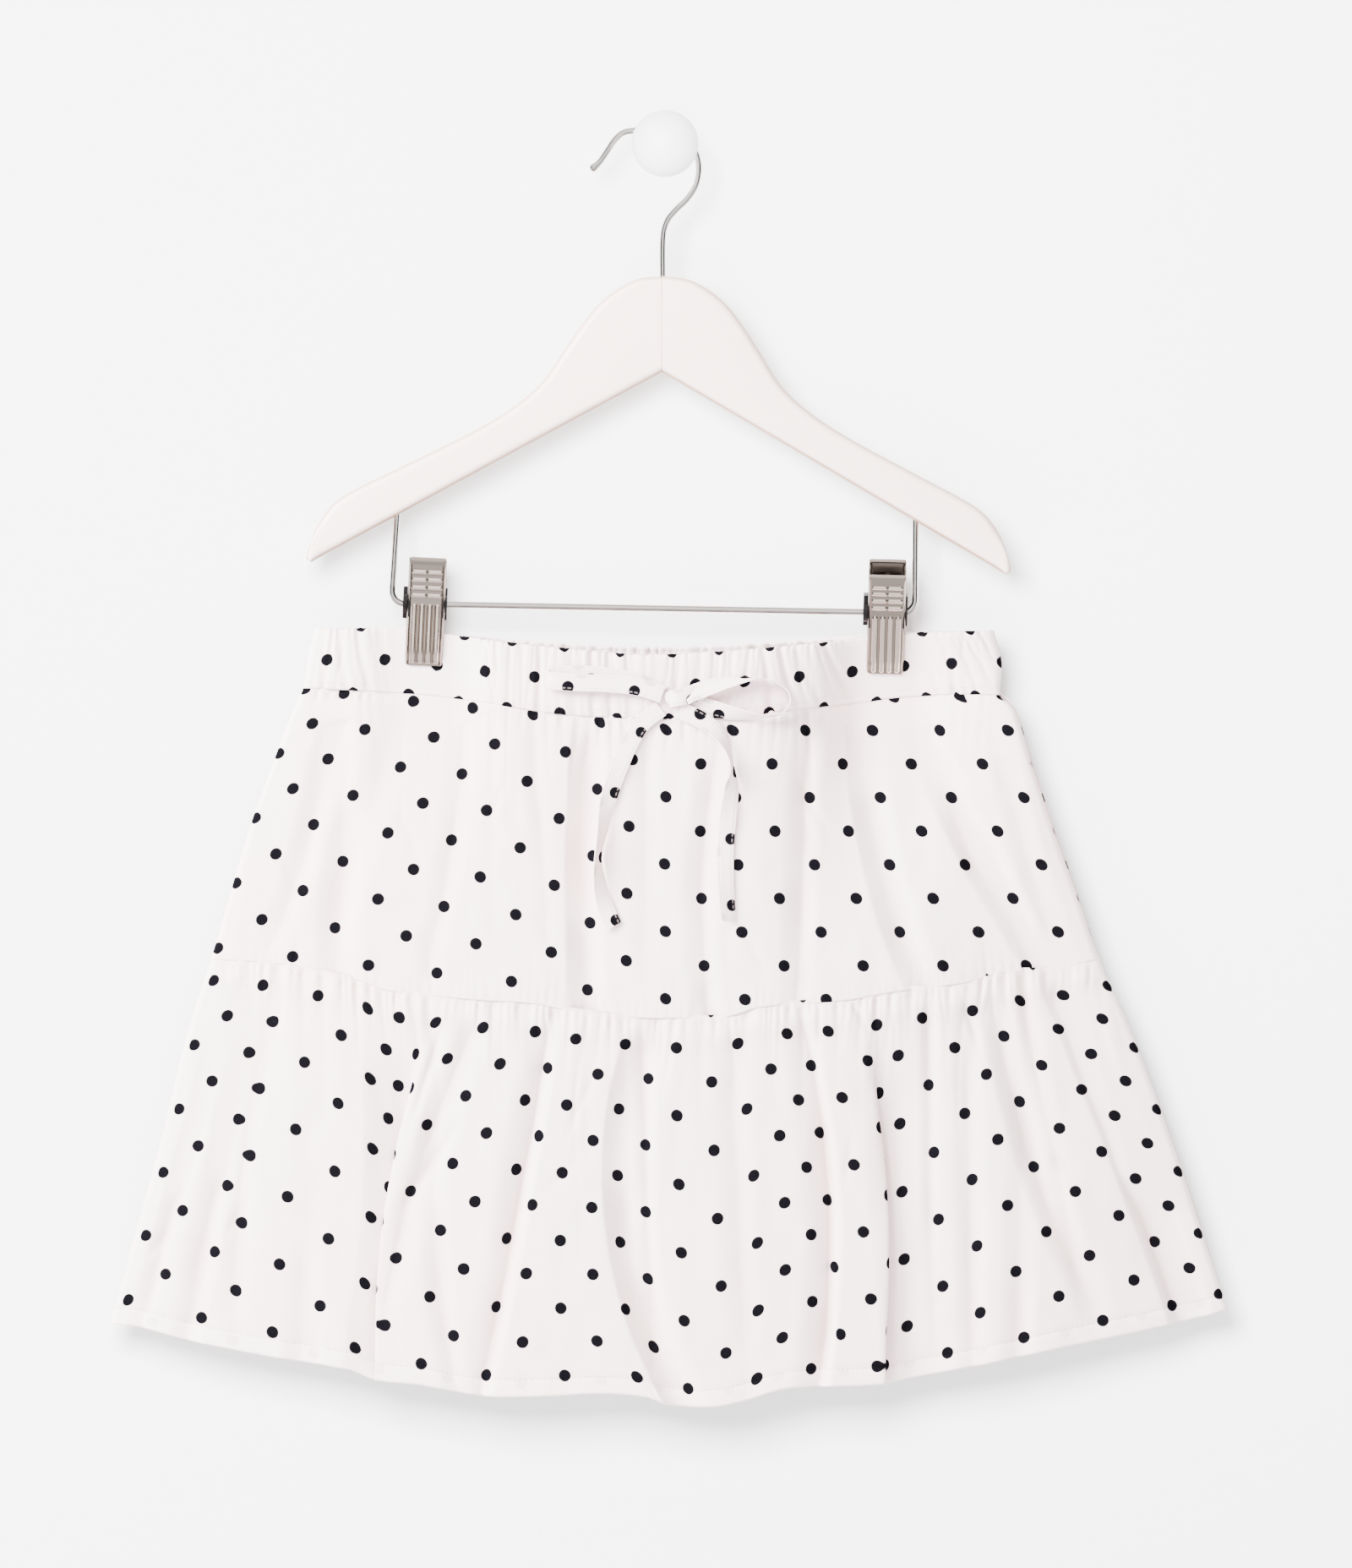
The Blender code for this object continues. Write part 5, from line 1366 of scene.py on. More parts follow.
def face_at(trees, x, z):
    """Foremost place of the cloth at x and z, in millimetres."""
    start = Vector((x, RAY_FROM, z)) * MM
    hits = [tree.ray_cast(start, -FORWARD) for tree in trees]
    return min(hit[0].y / MM if hit[0] else 0.0 for hit in hits)


def foremost(trees, x, z, reach):
    """Foremost place of the cloth over a small square round x and z."""
    steps = (-reach, 0, reach)
    return min(face_at(trees, x + dx, z + dz) for dx in steps for dz in steps)


def tape_route(rows, trees, width):
    """Middle points and table rows of a strand that lies on the cloth."""
    count = (len(rows) - 1) * TAPE_STEPS + 1
    stations = [table_at(rows, index / TAPE_STEPS) for index in range(count)]
    points = []
    for row in stations:
        twist = math.radians(row.twist)
        face = foremost(trees, row.x, row.z, width / 2)
        stand = width * abs(math.sin(twist)) + TAPE_CLOTH * abs(math.cos(twist))
        points.append([row.x, face - row.lift - stand / 2, row.z])
    points = np.array(points)
    for _ in range(TAPE_EASINGS):
        points[1:-1, 1] = (points[:-2, 1] + 2.0 * points[1:-1, 1] + points[2:, 1]) / 4
    return [Vector(point) for point in points], stations


def tape_side(along, twist, last_side):
    """Direction across a strand that lies flat, kept from flipping over at a turn."""
    if abs(along.dot(FORWARD)) > TURN_LIMIT:
        side = Vector((0.0, 0.0, 1.0))
        free = True
    else:
        side = along.cross(FORWARD).normalized()
        free = twist < 0.01
    if last_side and free and side.dot(last_side) < 0.0:
        side = -side
    return side


def tape_strand(name, rows, trees, sizes, material, seed, slant=0.0):
    """A flat tape with turned, stitched edges, and the middle line that it follows."""
    width = sizes.tape_width / MM
    points, stations = tape_route(rows, trees, width)
    half = TAPE_CLOTH / 2
    section = [(-1.0 + 2.0 * index / TAPE_ACROSS, 1.0) for index in range(TAPE_ACROSS + 1)]
    section += [(share, -1.0) for share, _ in reversed(section)]
    verts, maps, edges = [], [], []
    side = None
    run = 0.0
    last = len(points) - 1
    for index, (row, point) in enumerate(zip(stations, points)):
        if index:
            run += (point - points[index - 1]).length
        along = (points[min(index + 1, last)] - points[max(index - 1, 0)]).normalized()
        side = tape_side(along, row.twist, side)
        face = side.cross(along).normalized()
        twist = math.radians(row.twist)
        wide = side * math.cos(twist) + face * math.sin(twist)
        thin = wide.cross(along).normalized()
        cup = TAPE_CUP * float(cloth_noise(seed, run / 9.0, 0.3))
        for share, cover in section:
            out = share * width / 2
            inwards = width / 2 - abs(out)
            rounded = 1.0 - TAPE_ROUND * abs(share) ** 6
            swell = TAPE_SWELL * math.exp(-(inwards / TAPE_CLOTH - 1.0) ** 2)
            lift = cover * half * rounded * (0.8 + swell) + cup * (share * share - 0.4)
            skew = along * (slant * out * max(index - last + 3, 0) / 3)
            verts.append((point + wide * out + thin * lift + skew) * MM)
            maps.append((out + 2.0, run + seed * 5.0))
            edges.append((inwards, 10.0))
    faces = tube_faces(len(points), len(section))
    maps = {"cloth": maps, "edges": edges}
    piece = mesh_object(name, verts, faces, material, TAPE_SMOOTH, maps)
    return piece, [tuple(point * MM) for point in points], run * MM


def tape_piece(name, node, rows, trees, sizes, material, seed, slant=0.0):
    """One strand of the bow, fixed to the body."""
    piece, path, length = tape_strand(name, rows, trees, sizes, material, seed, slant)
    settle(piece, "dotted_cotton", node)


def weld(form):
    """Join points that stand on each other."""
    bmesh.ops.remove_doubles(form, verts=form.verts, dist=WELD_DISTANCE * MM)


def knot_core(trees, material):
    """The tight lump of tape in the middle of the bow."""
    x, z = KNOT_AT
    wide, deep, tall = KNOT_SIZE
    face = foremost(trees, x, z, KNOT_REACH)
    middle = Vector((x, face - KNOT_LIFT - deep / 2, z))
    verts, maps, edges = [], [], []
    for ring in range(KNOT_RINGS + 1):
        lift = math.pi * ring / KNOT_RINGS
        flat = math.sin(lift)
        for cos, sin in circle(KNOT_TURNS):
            ball = (flat * cos, flat * sin, math.cos(lift))
            side, out, up = [math.copysign(abs(part) ** KNOT_SQUARE, part) for part in ball]
            crease = KNOT_CREASE * math.cos(side * 5.0 - up * 1.6) * (1.0 - up * up)
            lean = KNOT_LEAN * up * tall
            spot = Vector((side * wide + lean, -out * deep * (1.0 + crease), up * tall)) * 0.5
            verts.append((middle + spot) * MM)
            maps.append((spot.x + 3.0, spot.z + 6.0))
            edges.append((wide / 2 - abs(spot.x), 10.0))
    faces = ring_faces(KNOT_RINGS + 1, KNOT_TURNS)
    maps = {"cloth": maps, "edges": edges}
    piece = mesh_object("tie_core", verts, faces, material, ALL_SMOOTH, maps)
    reshape(piece.data, weld)
    settle(piece, "dotted_cotton")


def knot_wrap(trees, sizes, material):
    """The fold of tape that is drawn over the middle of the bow."""
    piece, _, _ = tape_strand("tie_wrap", WRAP, trees, sizes, material, WRAP_SEED)
    settle(piece, "dotted_cotton", "tie_knot")


# ---- The hanger ----

HANGER_TILT = math.radians(1.03)
HANGER_NOTCH = (-1.2, -96.8)
HANGER_THICKNESS = 11.0
HANGER_EDGE_ROUND = 3.2
HANGER_ROUND_STEPS = 8
# The rims are rounded less near the tips: over this reach, from this share.
TIP_REACH = 6.0
TIP_ROUND = 0.35
GLUE_SEAM_X = -1.4
GLUE_GAP = 0.04
GLUE_LINE_ROUND = 0.16
OutlinePoint = namedtuple("OutlinePoint", "x z")
ARM_OUTLINE = table(
    OutlinePoint,
    (0, 41), (12.4, 39), (25, 31), (34, 20.4), (42, 8.4), (51, -5), (63, -15.8), (80, -26.6),
    (109, -41.6), (128, -51.2), (138, -57.6), (144.6, -66), (148.6, -75.6), (150.2, -81.8),
)
ARM_TIP = OutlinePoint(148.2, -83.5)
OUTLINE_STEPS = 8
ARM_UNDERSIDE_STEPS = 60


def hanger_outline():
    """The whole hanger seen from the front, level, as a closed clockwise loop."""
    count = (len(ARM_OUTLINE) - 1) * OUTLINE_STEPS
    half = [tuple(table_at(ARM_OUTLINE, step / OUTLINE_STEPS)) for step in range(count + 1)]
    half.append(tuple(ARM_TIP))
    under = []
    for step in range(1, ARM_UNDERSIDE_STEPS):
        share = 1.0 - step / ARM_UNDERSIDE_STEPS
        under.append((ARM_TIP.x * share, ARM_TIP.z * share))
    left = [(-x, z) for x, z in half[1:]]
    left_under = [(-x, z) for x, z in under]
    return half + under + [(0.0, 0.0)] + list(reversed(left_under)) + list(reversed(left))


def rounded_slab(outline, thickness, edge_round, steps):
    """Points and faces of an outline with thickness whose rims are rounded all along."""
    count = len(outline)
    points = [Vector(point) for point in outline]
    insets, rounds = [], []
    for index, point in enumerate(points):
        back = point - points[index - 1]
        ahead = points[(index + 1) % count] - point
        side_back = Vector((back.y, -back.x)).normalized()
        side_ahead = Vector((ahead.y, -ahead.x)).normalized()
        middle = (side_back + side_ahead).normalized()
        insets.append(middle / max(middle.dot(side_back), 0.5))
        tip = min(abs(abs(point.x) - ARM_TIP.x) / TIP_REACH + TIP_ROUND, 1.0)
        rounds.append(edge_round * tip)
    levels = []
    for step in range(steps + 1):
        angle = math.pi / 2 * step / steps
        levels.append((1.0 - math.sin(angle), 1.0 - math.cos(angle), 1.0))
    levels += [(inset, drop, -1.0) for inset, drop, _ in reversed(levels)]
    verts = []
    for inset, drop, face in levels:
        for point, direction, radius in zip(points, insets, rounds):
            place = point + direction * (radius * inset)
            verts.append(Vector((place.x, place.y, face * (thickness / 2 - radius * drop))))
    return verts, tube_faces(len(levels), count)


def hanger_matrix():
    """Place of the level hanger outline: its Z becomes the depth."""
    place = Matrix.Translation(Vector((HANGER_NOTCH[0], -HANG_DEPTH, HANGER_NOTCH[1])) * MM)
    tilt = Matrix.Rotation(HANGER_TILT, 4, "Y")
    return place @ tilt @ Matrix.Rotation(math.pi / 2, 4, "X")


def split_at_glue(form, hand):
    """Keep one side of the hanger, closed at the glue line and rounded round it."""
    cut_x = (GLUE_SEAM_X + hand * GLUE_GAP) * MM
    geometry = form.verts[:] + form.edges[:] + form.faces[:]
    cut = bmesh.ops.bisect_plane(
        form, geom=geometry, plane_co=(cut_x, 0.0, 0.0), plane_no=(-hand, 0.0, 0.0),
        clear_outer=True,
    )
    rim = [part for part in cut["geom_cut"] if isinstance(part, bmesh.types.BMEdge)]
    caps = bmesh.ops.edgeloop_fill(form, edges=rim)["faces"]
    bmesh.ops.bevel(
        form, geom=list(dict.fromkeys(edge for face in caps for edge in face.edges)),
        offset=GLUE_LINE_ROUND * MM, segments=2, affect="EDGES", clamp_overlap=True,
    )
    bmesh.ops.triangulate(form, faces=[face for face in form.faces if len(face.verts) > 4])


def arm_piece(side, material):
    """One glued half of the hanger, with the fine hollow of the glue line."""
    verts, faces = rounded_slab(
        hanger_outline(), HANGER_THICKNESS, HANGER_EDGE_ROUND, HANGER_ROUND_STEPS
    )
    matrix = hanger_matrix()
    verts = [matrix @ (vert * MM) for vert in verts]
    piece = mesh_object("arm_" + side, verts, faces, material, ALL_SMOOTH)
    hand = -1.0 if side == "left" else 1.0
    reshape(piece.data, lambda form: split_at_glue(form, hand))
    smooth_over(piece.data, WOOD_SMOOTH)
    settle(piece, "painted_wood", "hanger_arm_" + side)


# ---- Wires ----

HOOK_FREE_END = (
    (-32.0, -10.6), (-29.7, -9.0), (-27.4, -6.6), (-24.2, -1.9), (-21.2, 2.5), (-17.6, 5.4),
)
HOOK_ROUND_CENTRE = (-4.0, -9.9)
HOOK_ROUND_RADIUS = 18.4
HOOK_ROUND_FROM = math.radians(118.0)
HOOK_ROUND_TO = math.radians(-4.0)
HOOK_ROUND_STEPS = 9
HOOK_SHANK = (
    (13.1, -17.2), (9.6, -22.7), (4.8, -27.4), (1.3, -31.6), (-0.5, -36.4), (-1.0, -43.0),
    (-1.0, -54.0), (-0.9, -67.6),
)
HOOK_BEAD_LENGTH = 3.4
HOOK_BEAD_SWELL = 0.42
BAR_CORNERS = ((-114.1, -158.2), (-116.7, -195.2), (106.5, -199.2), (106.6, -160.7))
BAR_SOCKET = 8.0
BAR_BEND = 5.5
BAR_BEND_STEPS = 14
WIRE_SIDES = 20
WIRE_STEP = 0.8
STRAIGHT_STEP = 12.0


def wire_rings(route, radii, sides):
    """Points and faces of a round wire along a route in millimetres."""
    verts = []
    last = len(route) - 1
    normal = None
    for index, point in enumerate(route):
        along = (route[min(index + 1, last)] - route[max(index - 1, 0)]).normalized()
        if normal is None:
            normal = along.orthogonal().normalized()
        normal = (normal - along * normal.dot(along)).normalized()
        across = along.cross(normal)
        for cos, sin in circle(sides):
            verts.append((point + (normal * cos + across * sin) * radii[index]) * MM)
    return verts, tube_faces(len(route), sides)


def even_route(points, step):
    """Even points along a smooth curve through the given ones."""
    points = np.array([tuple(point) for point in points])
    keys = np.concatenate([[0.0], np.cumsum(np.linalg.norm(np.diff(points, axis=0), axis=1))])
    at = np.linspace(0.0, keys[-1], max(int(keys[-1] / step), 2))
    return [Vector(point) for point in zip(*[hermite(keys, line, at) for line in points.T])]


def domed(route, radius, swell=0.0, swell_length=1.0):
    """Radii of a wire whose two ends are rounded over, and the first may be beaded."""
    lengths = [0.0]
    for start, end in zip(route, route[1:]):
        lengths.append(lengths[-1] + (end - start).length)
    radii = []
    for length in lengths:
        bead = swell * math.exp(-((length - swell_length * 0.4) / swell_length) ** 2 * 2.2)
        near = min(length, lengths[-1] - length)
        cap = min(near / radius, 1.0)
        radii.append((radius + bead) * math.sqrt(max(1.0 - (1.0 - cap) ** 2, 0.0)) + 0.02)
    return radii


def chromed(name, node, route, radii, material):
    """A chromed wire, which the two lights on the garment don't reach."""
    rings = wire_rings(route, radii, WIRE_SIDES)
    piece = mesh_object(name, *rings, material, METAL_SMOOTH)
    link_lights(GARMENT_LIGHTS, piece)
    settle(piece, "chrome_wire", node)


def hook_piece(sizes, material):
    """Chromed wire hook with a small bead at its free end."""
    centre_x, centre_z = HOOK_ROUND_CENTRE
    route = list(HOOK_FREE_END)
    for index in range(HOOK_ROUND_STEPS + 1):
        turn = HOOK_ROUND_FROM + (HOOK_ROUND_TO - HOOK_ROUND_FROM) * index / HOOK_ROUND_STEPS
        route.append((
            centre_x + HOOK_ROUND_RADIUS * math.cos(turn),
            centre_z + HOOK_ROUND_RADIUS * math.sin(turn),
        ))
    route += HOOK_SHANK
    smooth = even_route([(x, -HANG_DEPTH, z) for x, z in route], WIRE_STEP)
    radii = domed(smooth, sizes.wire / MM / 2, HOOK_BEAD_SWELL, HOOK_BEAD_LENGTH)
    chromed("hook_wire", "hook", smooth, radii, material)


def rounded_corner(before, corner, after, radius, steps):
    """Arc that rounds a corner between two straight runs."""
    into = (before - corner).normalized()
    out = (after - corner).normalized()
    half_angle = into.angle(out) / 2
    run = radius / math.tan(half_angle)
    centre = corner + (into + out).normalized() * (radius / math.sin(half_angle))
    start = corner + into * run - centre
    sweep = math.pi - 2.0 * half_angle
    axis = into.cross(out).normalized()
    turns = [Matrix.Rotation(-sweep * index / steps, 3, axis) for index in range(steps + 1)]
    return [centre + turn @ start for turn in turns]


def straight(start, end):
    """Points along a straight run, without its end."""
    count = max(int((end - start).length / STRAIGHT_STEP), 1)
    return [start.lerp(end, index / count) for index in range(count)]


def bar_piece(sizes, material):
    """Wire bar whose ends go up into the hanger."""
    left_top, left, right, right_top = [Vector((x, -HANG_DEPTH, z)) for x, z in BAR_CORNERS]
    start = left_top + (left_top - left).normalized() * BAR_SOCKET
    end = right_top + (right_top - right).normalized() * BAR_SOCKET
    route = [start]
    route += rounded_corner(start, left, right, BAR_BEND, BAR_BEND_STEPS)
    route += rounded_corner(left, right, end, BAR_BEND, BAR_BEND_STEPS)
    route.append(end)
    route = [point for pair in zip(route, route[1:]) for point in straight(*pair)] + [end]
    radii = [sizes.wire / MM / 2] * len(route)
    chromed("trouser_bar", "bar", route, radii, material)


# ---- Clips ----

PlatePoint = namedtuple("PlatePoint", "forward up")
CLIP_PLATE = table(
    PlatePoint,
    (5.5, 18.6), (6.5, 19.4), (7.2, 18.7), (6.9, 16.5), (5.6, 4), (5.1, -4), (5, -20),
    (3.85, -24.4), (3.85, -26.2),
)
CLIP_WIDTH = 15.3
CLIP_STEEL = 0.8
PLATE_GRID = {"front": (72, 150), "back": (56, 110)}
# The rounded corners of a plate: their size and how far they draw its ends in.
PLATE_CORNER = 1.6
PLATE_TUCK = 0.9
FLANGE_START = 6.3
FLANGE_DEPTH = 1.5
Rib = namedtuple("Rib", "across from_up to_across to_up width height")
LONG_RIBS = tuple(Rib(at, -1.2, at, -24.6, 1.2, 0.7) for at in (-4.95, -1.65, 1.65, 4.95))
SHORT_RIBS = tuple(
    Rib(start, up, start + 4.6, up, 0.95, 0.6)
    for up in (13.4, 10.1, 6.8, 3.5)
    for start in (-5.6, 1.0)
)
EAR_TOP = 7.2
EAR_BOTTOM = -6.4
EAR_NOSE = 4.2
EAR_REACH = 5.3
FRONT_EAR_HOLE = 1.9
BACK_EAR_HOLE = 2.6
EAR_STEEL = 0.9
EAR_LEFT_BULGE = 2.0
EAR_SIDES = 32
EAR_EDGE_ROUND = 0.12
SEAM_GAP = 0.3


def clip_matrix(clip, side):
    """Frame of a plate: local X is forward from the bar, Y up, Z across."""
    place = Matrix.Translation(Vector((clip.x, -HANG_DEPTH, clip.z)) * MM)
    lean = Matrix.Rotation(clip.lean, 4, "Y")
    pitch = Matrix.Rotation(clip.pitch, 4, "X")
    forward = -1.0 if side == "front" else 1.0
    axes = Matrix((
        (0.0, 0.0, forward, 0.0),
        (forward, 0.0, 0.0, 0.0),
        (0.0, 1.0, 0.0, 0.0),
        (0.0, 0.0, 0.0, 1.0),
    ))
    return place @ lean @ pitch @ axes


def rib_height(rib, across, up):
    """Height of one pressed rib with round ends over a grid of places."""
    run_x, run_y = rib.to_across - rib.across, rib.to_up - rib.from_up
    square = run_x * run_x + run_y * run_y
    share = np.clip(((across - rib.across) * run_x + (up - rib.from_up) * run_y) / square, 0, 1)
    away_x = across - rib.across - share * run_x
    away_y = up - rib.from_up - share * run_y
    away = np.sqrt(away_x ** 2 + away_y ** 2)
    return rib.height * smoothstep(rib.width, rib.width * 0.35, away)


def plate_grid(side, rise):
    """Grid of a pressed plate in its own frame, in millimetres, and its ribs' heights."""
    columns, rows = PLATE_GRID[side]
    profile = np.array(CLIP_PLATE)
    runs = np.linalg.norm(np.diff(profile, axis=0), axis=1)
    keys = np.concatenate([[0.0], np.cumsum(runs)])
    at = np.linspace(0.0, keys[-1], rows)
    forward, up = hermite(keys, profile[:, 0], at), hermite(keys, profile[:, 1], at)
    slope_f, slope_u = np.gradient(forward, at), np.gradient(up, at)
    size = np.hypot(slope_f, slope_u)
    normal_f, normal_u = -slope_u / size, slope_f / size
    half = CLIP_WIDTH / 2
    across = np.linspace(-half, half, columns)[None, :]
    corner = np.clip((half - PLATE_CORNER - abs(across)) / PLATE_CORNER, -1.0, 0.0)
    tuck = PLATE_TUCK * (1.0 - np.sqrt(np.maximum(1.0 - corner ** 2, 0.0)))
    ends = np.minimum(at, keys[-1] - at)[:, None]
    ups = np.broadcast_to(up[:, None], (rows, columns))
    relief = np.zeros((rows, columns))
    for rib in LONG_RIBS + SHORT_RIBS:
        relief = np.maximum(relief, rib_height(rib, across, ups))
    flange = np.clip((abs(across) - FLANGE_START) / (half - FLANGE_START), 0, 1)
    flange = FLANGE_DEPTH * flange ** 2 * smoothstep(19.0, 15.0, ups)
    out = relief - flange
    spot_f = forward[:, None] + normal_f[:, None] * out
    spot_u = up[:, None] + normal_u[:, None] * out
    round_in = tuck * smoothstep(2.0, 0.0, ends)
    spot_u = spot_u + np.where(at[:, None] < keys[-1] / 2, -round_in, round_in)
    spot_u = spot_u + rise * smoothstep(8.0, 19.0, spot_u)
    grid = np.stack([spot_f, spot_u, np.broadcast_to(across, relief.shape)], axis=-1)
    return grid, np.stack([relief, relief * 0.0], axis=-1)


def ear_reach(cos, sin):
    """How far an ear reaches from the bar in a direction."""
    limits = ((cos, EAR_REACH), (sin, EAR_TOP), (-sin, -EAR_BOTTOM))
    reaches = [limit / part for part, limit in limits if part > 0.001]
    return min(reaches + [EAR_NOSE] if cos < 0.0 else reaches)


def ear_ring(hole, shift, thickness):
    """One ear: a flat plate round the bar's hole, in the plate's own frame."""
    verts, faces = [], []
    for face in (-0.5, 0.5):
        depth = shift + face * thickness
        for cos, sin in circle(EAR_SIDES):
            reach = ear_reach(cos, sin)
            verts += [(hole * cos, hole * sin, depth), (reach * cos, reach * sin, depth)]
    back = 2 * EAR_SIDES
    for inner in range(0, back, 2):
        outer = inner + 1
        inner_next = (inner + 2) % back
        outer_next = inner_next + 1
        faces.append((inner, outer, outer_next, inner_next))
        faces.append((back + inner, back + inner_next, back + outer_next, back + outer))
        faces.append((inner, inner_next, back + inner_next, back + inner))
        faces.append((outer, back + outer, back + outer_next, outer_next))
    return verts, faces


def clip_plate(clip, side, material, inside, dark):
    """One pressed steel plate of a clip with its ribs, rolled lip, flanges and ears."""
    grid, relief = plate_grid(side, clip.front_rise if side == "front" else clip.back_rise)
    matrix = clip_matrix(clip, side)
    verts = [matrix @ (Vector(point) * MM) for point in grid.reshape(-1, 3)]
    name = "clip_plate_{}_{}".format(clip.name, side)
    faces = grid_faces(*grid.shape[:2])
    piece = mesh_object(name, verts, faces, material, METAL_SMOOTH, {"relief": relief})
    link_lights(GARMENT_LIGHTS, piece)
    # The plate's inner side takes the darker copy of the nickel: painted shade.
    piece.data.materials.append(inside)
    add_wall(piece, "Steel", CLIP_STEEL, 0.0).material_offset = 1
    hole = FRONT_EAR_HOLE if side == "front" else BACK_EAR_HOLE
    for end in (1.0, -1.0):
        thickness = EAR_STEEL
        inner = CLIP_WIDTH / 2 - EAR_STEEL
        if side == "back":
            inner += EAR_STEEL + SEAM_GAP
            if end < 0.0:
                thickness = EAR_LEFT_BULGE
        ear_verts, ear_faces = ear_ring(hole, end * (inner + thickness / 2), thickness)
        ear_verts = [matrix @ (Vector(vert) * MM) for vert in ear_verts]
        ear_name = "clip_ear_{}_{}_{}".format(clip.name, side, "a" if end > 0 else "b")
        # The ears take the near-black steel of the springs: painted shade on the ears.
        ear = mesh_object(ear_name, ear_verts, ear_faces, dark, EAR_SMOOTH)
        link_lights(GARMENT_LIGHTS, ear)
        bevel = ear.modifiers.new("Edge", "BEVEL")
        bevel.width = EAR_EDGE_ROUND * MM
        bevel.segments = 2
        settle(ear, "spring_steel")
    settle(piece, "nickel", "clip_{}_{}".format(clip.name, side))


SPRING_WIRE = 0.8
SPRING_TURNS = 4
SPRING_HALF_LENGTH = 4.6
SPRING_LEG_TOP = 9.0
SPRING_LEG_FORWARD = 5.1
SPRING_CLEARANCE = 0.4
SPRING_TURN_STEPS = 24
SPRING_SIDES = 10


def spring_piece(clip, sizes, material):
    """Torsion spring round the bar, one leg on each plate."""
    radius = sizes.wire / MM / 2 + SPRING_CLEARANCE + SPRING_WIRE / 2
    count = SPRING_TURNS * SPRING_TURN_STEPS
    local = [(SPRING_LEG_FORWARD, SPRING_LEG_TOP, -SPRING_HALF_LENGTH)]
    for index in range(count + 1):
        turn = math.pi / 2 - 2.0 * math.pi * index / SPRING_TURN_STEPS
        along = -SPRING_HALF_LENGTH + 2.0 * SPRING_HALF_LENGTH * index / count
        local.append((radius * math.sin(turn), -radius * math.cos(turn), along))
    local.append((-SPRING_LEG_FORWARD, SPRING_LEG_TOP, SPRING_HALF_LENGTH))
    matrix = clip_matrix(clip, "front")
    route = [(matrix @ (Vector(point) * MM)) / MM for point in local]
    coil = wire_rings(route, [SPRING_WIRE / 2] * len(route), SPRING_SIDES)
    piece = mesh_object("clip_coil_" + clip.name, *coil, material, METAL_SMOOTH)
    settle(piece, "spring_steel", "clip_{}_spring".format(clip.name))


# ---- Knob ----

KNOB_BALL_RADIUS = 14.2
KNOB_BALL_DEPTH = 38.5
KNOB_STEM_RADIUS = 6.5
KNOB_EDGE = 0.3
KNOB_TURNS = 96
KNOB_STEPS = 64


def knob_piece(material):
    """Turned ball knob on a straight stem, its flat back on the wall."""
    neck = math.asin(KNOB_STEM_RADIUS / KNOB_BALL_RADIUS)
    stop = math.pi / 2 - neck
    profile = [(KNOB_STEM_RADIUS - KNOB_EDGE, 0.0), (KNOB_STEM_RADIUS, -KNOB_EDGE)]
    for index in range(KNOB_STEPS):
        angle = stop - (stop + math.pi / 2) * index / KNOB_STEPS
        depth = -KNOB_BALL_DEPTH + KNOB_BALL_RADIUS * math.sin(angle)
        profile.append((KNOB_BALL_RADIUS * math.cos(angle), depth))
    verts = [Vector((0.0, 0.0, 0.0))]
    for radius, depth in profile:
        for cos, sin in circle(KNOB_TURNS):
            verts.append(Vector((radius * cos, depth, radius * sin)) * MM)
    verts.append(Vector((0.0, -KNOB_BALL_DEPTH - KNOB_BALL_RADIUS, 0.0)) * MM)
    faces = ring_faces(len(profile), KNOB_TURNS, 1)
    last = len(verts) - 1 - KNOB_TURNS
    for step in range(KNOB_TURNS):
        after = (step + 1) % KNOB_TURNS
        faces.append((0, 1 + after, 1 + step))
        faces.append((last + step, last + after, len(verts) - 1))
    piece = mesh_object("ball_knob", verts, faces, material, KNOB_SMOOTH)
    piece.visible_shadow = False
    link_lights(ALL_LIGHTS, piece)
    settle(piece, "knob_paint", "wall_knob")


# ---- Stage ----

VIEW_X = 4.68
VIEW_Z = -272.1
VIEW_DISTANCE = 6.0
VIEW_HEIGHT = 667.8
SENSOR = 36.0
WALL_BACK = 0.6
FLOOR_Z = -0.72
WALL_REACH = 2.2
WALL_LIGHT_FROM = (-0.42, -2.0, 0.26)
WALL_LIGHT_SIZE = 0.8
KEY_FROM = (-0.9, -1.8, 0.6)
KEY_SIZE = 0.6
SIDE_FROM = (-1.35, -0.95, 0.5)
SIDE_SIZE = 0.85
BACK_FROM = (0.35, 1.6, 0.45)
BACK_SIZE = 1.2
# Whether a light reaches only the pieces that are linked to it, or all but them.
BACK_LIGHTS = {"back light": "INCLUDE"}
GARMENT_LIGHTS = {"key light": "EXCLUDE", "side light": "EXCLUDE"}
ALL_LIGHTS = {"wall light": "INCLUDE", **GARMENT_LIGHTS}
SKY_COLOUR = (1.0, 0.995, 0.99, 1.0)
SIDE_SKY = 0.12
FRONT_SKY = 2.7
FRONT_TOWARDS = (-0.05, -0.963, 0.265)
FRONT_SPREAD = (0.8, 0.965)
TOP_SKY = 3.0
TOP_SPREAD = (0.5, 0.8)
LOW_SKY = 1.6
LOW_SPREAD = (-0.05, -0.5)
AIM = (0.0, -0.02, -0.27)


def corners(low, high):
    """Corners of a stage piece as wide as the wall, between two of its edges, in metres."""
    return ((-WALL_REACH, low), (WALL_REACH, low), (WALL_REACH, high), (-WALL_REACH, high))


def stage_plane(name, spots, material):
    """Flat stage piece through four corners in metres."""
    mesh = bpy.data.meshes.new(name)
    mesh.from_pydata(spots, [], [(0, 1, 2, 3)])
    mesh.materials.append(material)
    piece = add_object(name, mesh)
    return piece


